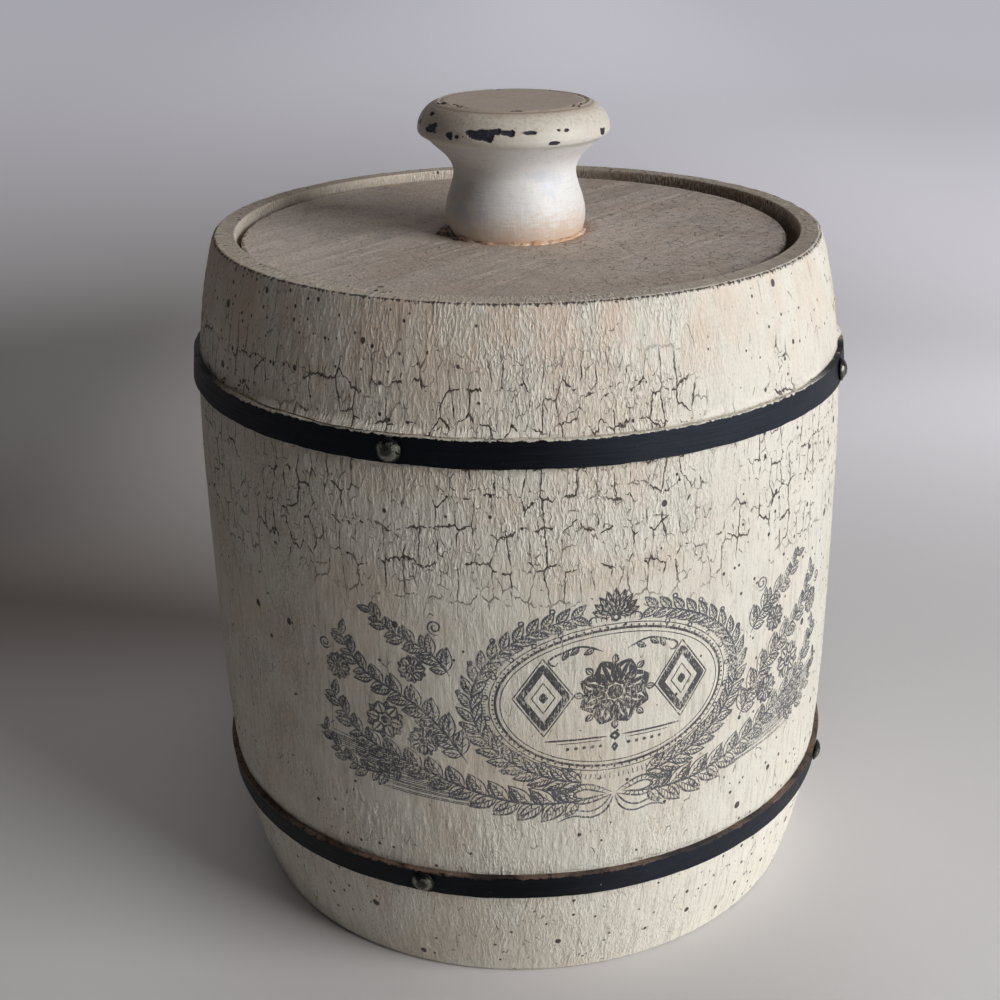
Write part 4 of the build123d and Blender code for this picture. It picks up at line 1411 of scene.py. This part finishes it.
def flowerBlocks(centre, petals, start, end, width, line, spin):
    # petals like leaves round an eye
    heading = spin + 360 / petals * np.arange(petals)
    base = np.asarray(centre) + start * onCircle(np.radians(heading))
    blocks = leafBlocks(base, heading, end - start, width, line, 0)
    return blocks + [ringBlock(centre, start * share, start * share, line) for share in (0.6, 0.18)]


def diamondBlock(centre, wide, tall, line):
    # four straight sides in one stroke, run a little past its start
    corners = np.array([(wide, 0), (0, tall), (-wide, 0), (0, -tall), (wide, 0), (0.9 * wide, 0.1 * tall)])
    count = np.maximum(2, (np.hypot(*np.diff(corners, axis=0).T) / printLook["step"]).astype(int))
    legs = [np.linspace(a, b, n, endpoint=False) for a, b, n in zip(corners[:-1], corners[1:], count)]
    path = np.concatenate(legs) + np.asarray(centre)
    return path[None], np.full((1, len(path)), float(line))


def middleBlocks():
    blocks = [ringBlock((0, 0), wide, tall, line) for wide, tall, line in ovals]
    beads = np.radians(np.arange(0, 360, 3.75))
    blocks.append(dots((24.75, 16.1) * onCircle(beads), 0.12, 0.26, 6))
    blocks += flowerBlocks((0, 1.4), *rosette.values(), 22.5)
    blocks += flowerBlocks((0, 1.4), rosette["petals"], 6.6, 8.6, 1.2, 0.26, 0.0)
    wide, tall, line = lozenge["wide"], lozenge["tall"], lozenge["line"]
    sizes = [(wide, tall, line), (wide + line * 0.95, tall + line * 1.3, 0.3)]
    sizes += [(wide * 0.5, tall * 0.5, 0.26), (0.5, 0.8, 0.9)]
    side = [diamondBlock((lozenge["at"], 1.4), *size) for size in sizes]
    side.append(dots(np.linspace((3.0, -10.8), (9.8, -10.8), 5), 0.2, 0.44, 7))
    side.append(curveBlock(straight((1.6, -8.7), (15.0, -8.7), 0.35), 0.42))
    side.append(curveBlock(straight((2.6, -9.5), (12.6, -9.5), 0.35), 0.2))
    curl = [(2.6, 10.9), (6.5, 12.4), (11.2, 11.2), (13.4, 9.3), (12.2, 8.6), (11.6, 9.4)]
    side.append(curveBlock(smoothThrough(curl, 0.3), 0.45))
    side += leafBlocks([(4.4, 11.7), (7.4, 12.2), (9.6, 11.8)], [-28.0, -40.0, -62.0], 2.4, 1.0, 0.24, 3)
    blocks += side + flipped(side)
    blocks += [diamondBlock((0, -8.8), 0.8, 0.8, 0.7), diamondBlock((0, -11.4), 0.45, 0.9, 0.6)]
    return blocks


def sprayBlocks():
    # one side: curving stems with leaves either side of them, flowers, tendrils and ruled ground
    blocks = []
    for count, size, places in stems:
        path = smoothThrough(places, 0.3)
        shares = np.linspace(0.06, 0.98, count)
        spot, heading = alongCurve(path, shares)
        side = np.where(np.arange(count) % 2 == 0, 1, -1)
        length = size * (1 - 0.42 * shares)
        blocks.append(curveBlock(path, 0.5))
        blocks += leafBlocks(spot, heading + side * 38, length, length * 0.42)
        blocks += leafBlocks(spot, heading - side * 52, length * 0.66, length * 0.32, 0.24, 4)
    for centre, size, spin in sprayFlowers:
        blocks += flowerBlocks(centre, 6, size * 0.28, size, size * 0.62, 0.42, spin)
        blocks += flowerBlocks(centre, 6, size * 0.62, size * 1.06, size * 0.26, 0.26, spin + 30)
    angle = np.linspace(0, 1.6 * turn, 40)
    for centre, size, spin in (((53.5, -15.0), 1.9, 2.6), ((35.8, 16.6), 1.7, 4.2), ((61.0, 8.5), 1.5, 3.4)):
        radius = size * (1 - angle / angle[-1] * 0.8)
        blocks.append(curveBlock(radius[:, None] * onCircle(angle + spin) + np.array(centre), 0.4))
    rng = np.random.default_rng(71)
    for row in range(20):
        height = -24.6 + row * 0.56
        start, end = 24 + row * 0.85 + rng.uniform(0, 4), 46 + row * 0.75 + rng.uniform(0, 6)
        blocks.append(curveBlock(straight((start, height), (end, height + 2.2), 0.35), 0.22))
    return blocks


def crownBlocks():
    # a palmette over the oval's top, between the wreath's ends
    heading = np.linspace(18, 162, 9)
    reach = 5.4 - np.abs(heading - 90) / 90 * 1.6
    base = np.stack([np.cos(np.radians(heading)), 18.2 + np.sin(np.radians(heading))], -1)
    blocks = leafBlocks(base, heading, reach, 1.6, 0.3, 4) + [ringBlock((0, 18.2), 0.7, 0.7, 0.6)]
    curl = [(1.6, 17.8), (3.4, 18.6), (5.2, 18.2), (5.4, 17.0), (4.5, 16.8)]
    side = [curveBlock(smoothThrough(curl, 0.25), 0.34)]
    return blocks + side + flipped(side)


def bowBlocks():
    # half of a ribbon's bow: a loop and a tail, each drawn as two edges with hatches between, and its knot
    loop = [(0.4, -22.4), (3.6, -20.4), (8.0, -19.9), (10.2, -22.0), (7.6, -24.2), (3.4, -23.8), (0.4, -22.8)]
    inner = [(1.8, -22.4), (4.2, -21.4), (7.4, -21.1), (8.6, -22.1), (7.0, -23.0), (4.0, -22.9), (1.8, -22.6)]
    tail = [(0.6, -23.0), (2.6, -25.4), (5.6, -26.4), (8.4, -25.8), (11.0, -26.9)]
    edge = [(0.2, -23.2), (1.6, -26.4), (4.9, -27.9), (8.3, -27.3), (11.8, -28.4)]
    blocks = [curveBlock(smoothThrough(path, 0.3), 0.42) for path in (loop, inner, tail, edge)]
    first, _ = alongCurve(smoothThrough(loop, 0.3), np.linspace(0.08, 0.92, 17))
    second, _ = alongCurve(smoothThrough(inner, 0.3), np.linspace(0.08, 0.92, 17))
    t = np.linspace(0, 0.75, 4)[None, :, None]
    hatches = first[:, None] * (1 - t) + second[:, None] * t
    blocks.append((hatches, np.full(hatches.shape[:2], 0.24)))
    return blocks


def ribbonParts(path, width):
    # stroke rows to closed ribbons: five points over the ink's crown and two deeper below, at every station
    ahead = np.gradient(path, axis=1)
    ahead = ahead / np.maximum(np.linalg.norm(ahead, axis=2, keepdims=True), 1e-9)
    sideways = np.stack([-ahead[..., 1], ahead[..., 0]], -1)
    across = np.array([-1, -0.5, 0, 0.5, 1, 1, -1])
    lift = printLook["edge"] + (printLook["crown"] - printLook["edge"]) * (1 - across**2)
    lift[5:] = -printLook["under"]
    spread = path[:, :, None] + sideways[:, :, None] * (across[:, None] * width[:, :, None, None] / 2)
    spread = spread * printLook["scale"]
    angle = paper["azimuth"] + np.degrees(spread[..., 0] / middleRadius)
    height = paper["height"] + spread[..., 1]
    relief = wallRelief(angle, height)
    radius = kegRadius(height) - keg["paintSink"] + np.minimum(relief + lift, printLook["highest"])
    points = aroundAxis(radius, angle, height).reshape(-1, 3)
    count, stations, ring = radius.shape
    quads = gridFaces(stations, ring, wrapColumns=True)
    first = np.arange(count)[:, None, None] * stations * ring
    faces = (quads[None] + first).reshape(-1, 4)
    caps = np.stack([np.arange(ring)[::-1], np.arange(ring) + (stations - 1) * ring])
    caps = (caps[None] + first).reshape(-1, ring)
    where = np.stack([np.radians(angle) * middleRadius, radius, height], -1).reshape(-1, 3)
    return points, faces, caps, where, relief.ravel()


def makePrint(name, blocks, finish):
    parts = [ribbonParts(path, width) for path, width in blocks]
    starts = np.cumsum([0] + [len(part[0]) for part in parts])
    quads = np.concatenate([part[1] + start for part, start in zip(parts, starts)])
    caps = np.concatenate([part[2] + start for part, start in zip(parts, starts)])
    points, where, relief = [np.concatenate([part[k] for part in parts]) for k in (0, 3, 4)]
    fields = {"wallPlace": where, "relief": relief, "edgeWay": np.full(len(points), 60.0)}
    piece = makePiece(name, points, [quads, caps], [finish], fields, sharpAbove=70)
    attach(piece, "keg")


# camera, light and floor
cameraView = {"place": (0.0, -0.3149, 0.2171), "turn": 2.35, "dip": 23.34, "lens": 53.68, "shift": -0.08}
keyLamp = {
    "angle": -30.0,
    "climb": 20.0,
    "away": 1.15,
    "size": 0.7,
    "power": 13.1,
    "colour": (1.0, 0.995, 1.0),
}
fillLamp = {
    "angle": 150.0,
    "climb": 84.0,
    "away": 1.3,
    "size": 1.2,
    "power": 1.75,
    "colour": (1.0, 0.87, 0.79),
}
worldLight = {
    "colour": (1.0, 0.9, 0.82, 1.0),
    "strength": 0.005,
    "left": shade(84, 82, 84),
    "right": shade(206, 204, 212),
}
floorLook = {
    "half": 8.0,
    "colour": shade(222, 220, 220),
    # darker floor, for painted shade further left
    "paintedFloorShade": shade(188, 186, 188),
    "hot": shade(90, 89, 90),
    "hotAway": 0.86,
    "glow": shade(244, 243, 255),
    # strengths of the floor's glow: painted light beside the keg, close to it, in its shadow and far off
    "near": 0.1,
    "beside": 0.34,
    "inShade": 0.06,
    "beyond": 0.4,
}


def makeCamera():
    lens = bpy.data.cameras.new("photographer")
    lens.lens = cameraView["lens"]
    lens.sensor_width = 36.0
    lens.shift_x = cameraView["shift"]
    lens.clip_start = 0.01
    lens.clip_end = 60.0
    camera = bpy.data.objects.new("photographer", lens)
    camera.location = cameraView["place"]
    camera.rotation_euler = np.radians([90 - cameraView["dip"], 0, -cameraView["turn"]])
    bpy.context.scene.collection.objects.link(camera)
    bpy.context.scene.camera = camera


def makeLamp(name, look):
    # a square soft lamp on a ball round the keg's middle, facing it
    lamp = bpy.data.lights.new(name, "AREA")
    lamp.size = look["size"]
    lamp.energy = look["power"]
    lamp.color = look["colour"]
    angle, climb = np.radians(look["angle"]), np.radians(look["climb"])
    out = Vector((np.cos(angle) * np.cos(climb), np.sin(angle) * np.cos(climb), np.sin(climb)))
    made = bpy.data.objects.new(name, lamp)
    made.location = Vector((0, 0, keg["height"] * mm / 2)) + out * look["away"]
    made.rotation_mode = "QUATERNION"
    made.rotation_quaternion = out.to_track_quat("Z", "Y")
    bpy.context.scene.collection.objects.link(made)


def seenRays(mix):
    # 1 for the rays that show a thing itself, to the camera, in a mirror or through glass
    path = mix.node("LightPath").outputs
    return mix.larger(mix.larger(path["Is Camera Ray"], path["Is Glossy Ray"]), path["Is Transmission Ray"])


def makeWorld():
    # a faint even light, and a plain wall for the camera, darker on the left
    mix = Recipe("studio", "left", worldLight, bpy.data.worlds)
    across = mix.split(mix.node("TexCoord").outputs["Generated"])[0]
    mix.lay("right", mix.ramp(across, -0.8, 0.8, kind="LINEAR"))
    light = mix.node("Background", Color=worldLight["colour"], Strength=worldLight["strength"])
    wall = mix.node("Background", Color=mix.colour)
    both = mix.filled(mix.node("MixShader"), seenRays(mix), light.outputs[0], wall.outputs[0])
    mix.node("OutputWorld", Surface=both)
    bpy.context.scene.world = mix.owner


def makeFloor():
    # a level sheet; where the lamp's light thins out far off, the camera sees it pale all the same
    half = floorLook["half"]
    corners = [(-half, -half, 0), (half, -half, 0), (half, half, 0), (-half, half, 0)]
    mesh = bpy.data.meshes.new("pale_floor")
    mesh.from_pydata(corners, [], [(0, 1, 2, 3)])
    mix = Recipe("paleFloor", "colour", floorLook)
    where = mix.node("TexCoord").outputs["Object"]
    across, back, _ = mix.split(where)
    # painted light: the camera sees the floor glow paler to the right of the keg, close on its right and in
    # its shadow on the left
    beside = mix.times(mix.ramp(back, 0.06, 0.32), mix.ramp(across, -0.15, 0.3, 0.0, floorLook["beside"]))
    beside = mix.times(beside, mix.ramp(back, 0.4, 1.2, 1.0, 0.3))
    near = mix.times(mix.ramp(across, 0.03, 0.1, 0.0, floorLook["near"]), mix.fall(back, 0.24, 0.4))
    inShade = mix.ramp(across, -0.1, -0.03, floorLook["inShade"], 0.0)
    inShade = mix.times(inShade, mix.fall(back, 0.04, 0.12))
    # painted shade: further left and back the floor is laid darker
    paintedFloorShade = mix.times(mix.fall(across, -0.2, -0.12), mix.ramp(back, 0.1, 0.2))
    paintedFloorShade = mix.times(paintedFloorShade, mix.fall(back, 0.35, 0.55))
    away = mix.math("SQRT", mix.add(mix.math("POWER", across, 2.0), mix.math("POWER", back, 2.0)))
    past = mix.times(mix.larger(mix.less(away, 0.45), 0.0), 2.0)
    beyond = mix.less(1.0, mix.math("EXPONENT", mix.times(mix.math("POWER", past, 1.2), -1.0)))
    beyond = mix.times(beyond, floorLook["beyond"], mix.ramp(across, -0.5, 0.0, 1.0, 1.25))
    beyond = mix.times(beyond, mix.ramp(across, 0.0, 0.4, 1.0, 0.77))
    pale = mix.add(beside, near, inShade, beyond)
    seen = seenRays(mix)
    glow = mix.times(pale, seen)
    # the key lamp stands low and would bleach the floor in front of it, so there the floor is seen darker
    lampSide = np.radians(keyLamp["angle"])
    hotX, hotY = floorLook["hotAway"] * np.cos(lampSide), floorLook["hotAway"] * np.sin(lampSide)
    east, north = mix.less(across, hotX), mix.less(back, hotY)
    fromHot = mix.math("SQRT", mix.add(mix.math("POWER", east, 2.0), mix.math("POWER", north, 2.0)))
    mix.lay("paintedFloorShade", paintedFloorShade)
    mix.lay("hot", mix.ramp(fromHot, 0.18, 0.7, 0.95, 0.0), seen)
    cloth = mix.node("BsdfDiffuse", Color=mix.colour)
    shine = mix.node("Emission", Color=floorLook["glow"], Strength=glow)
    both = mix.filled(mix.node("AddShader"), cloth.outputs[0], shine.outputs[0])
    mix.node("OutputMaterial", Surface=both)
    mesh.materials.append(mix.owner)
    floor = bpy.data.objects.new("pale_floor", mesh)
    bpy.context.scene.collection.objects.link(floor)


# making
bpy.context.scene.view_settings.view_transform = "Standard"
makeCamera()
makeWorld()
makeLamp("key_lamp", keyLamp)
makeLamp("fill_lamp", fillLamp)
makeFloor()
print("camera, lamps and floor are in place")

kegPaint = staveMaterial()
staveWood = woodMaterial("bareStaveWood", shade(196, 158, 112), shade(160, 118, 74), (1, 1, 0.06))
for number in range(1, keg["staves"] + 1):
    makeStave(number, [kegPaint, staveWood])
print("the staves are painted")

ink = inkMaterial("wornPrintingInk", shade(64, 66, 76), 0.35)
darkInk = inkMaterial("darkPrintingInk", shade(44, 44, 52), 0.15)
sprays = sprayBlocks() + bowBlocks()
makePrint("printed_wreath", wreathBlocks() + flipped(wreathBlocks()), ink)
makePrint("printed_middle", middleBlocks() + crownBlocks(), darkInk)
makePrint("printed_right_spray", sprays, ink)
makePrint("printed_left_spray", flipped(sprays), ink)
print("the ornament is printed")

blackPaint = hoopMaterial()
makeHoop("upper_hoop", hoop["upperLow"], 51, blackPaint)
makeHoop("lower_hoop", hoop["lowerRise"], 54, blackPaint)
wornSteel = nailMaterial()
makeNails("upper_hoop_nails", hoop["upperLow"] + hoop["width"] / 2, 0.0, 61, wornSteel)
makeNails("lower_hoop_nails", hoop["lowerRise"] + hoop["width"] / 2, nail["lowerTurn"], 64, wornSteel)
print("the hoops are on and nailed")

boardWood = woodMaterial("bareBoardWood", shade(196, 160, 116), shade(156, 116, 74), (0.06, 1, 1))
makeLid([lidMaterial(), boardWood])
makeKnob([knobMaterial(), boardWood])
makeGlue(glueMaterial())
for node, finish in (("bottom_head", boardWood), ("knob_screw", screwMaterial())):
    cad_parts[node].data.materials.clear()
    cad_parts[node].data.materials.append(finish)
print("the lid has its knob, and the bottom board and the screw have their finish")
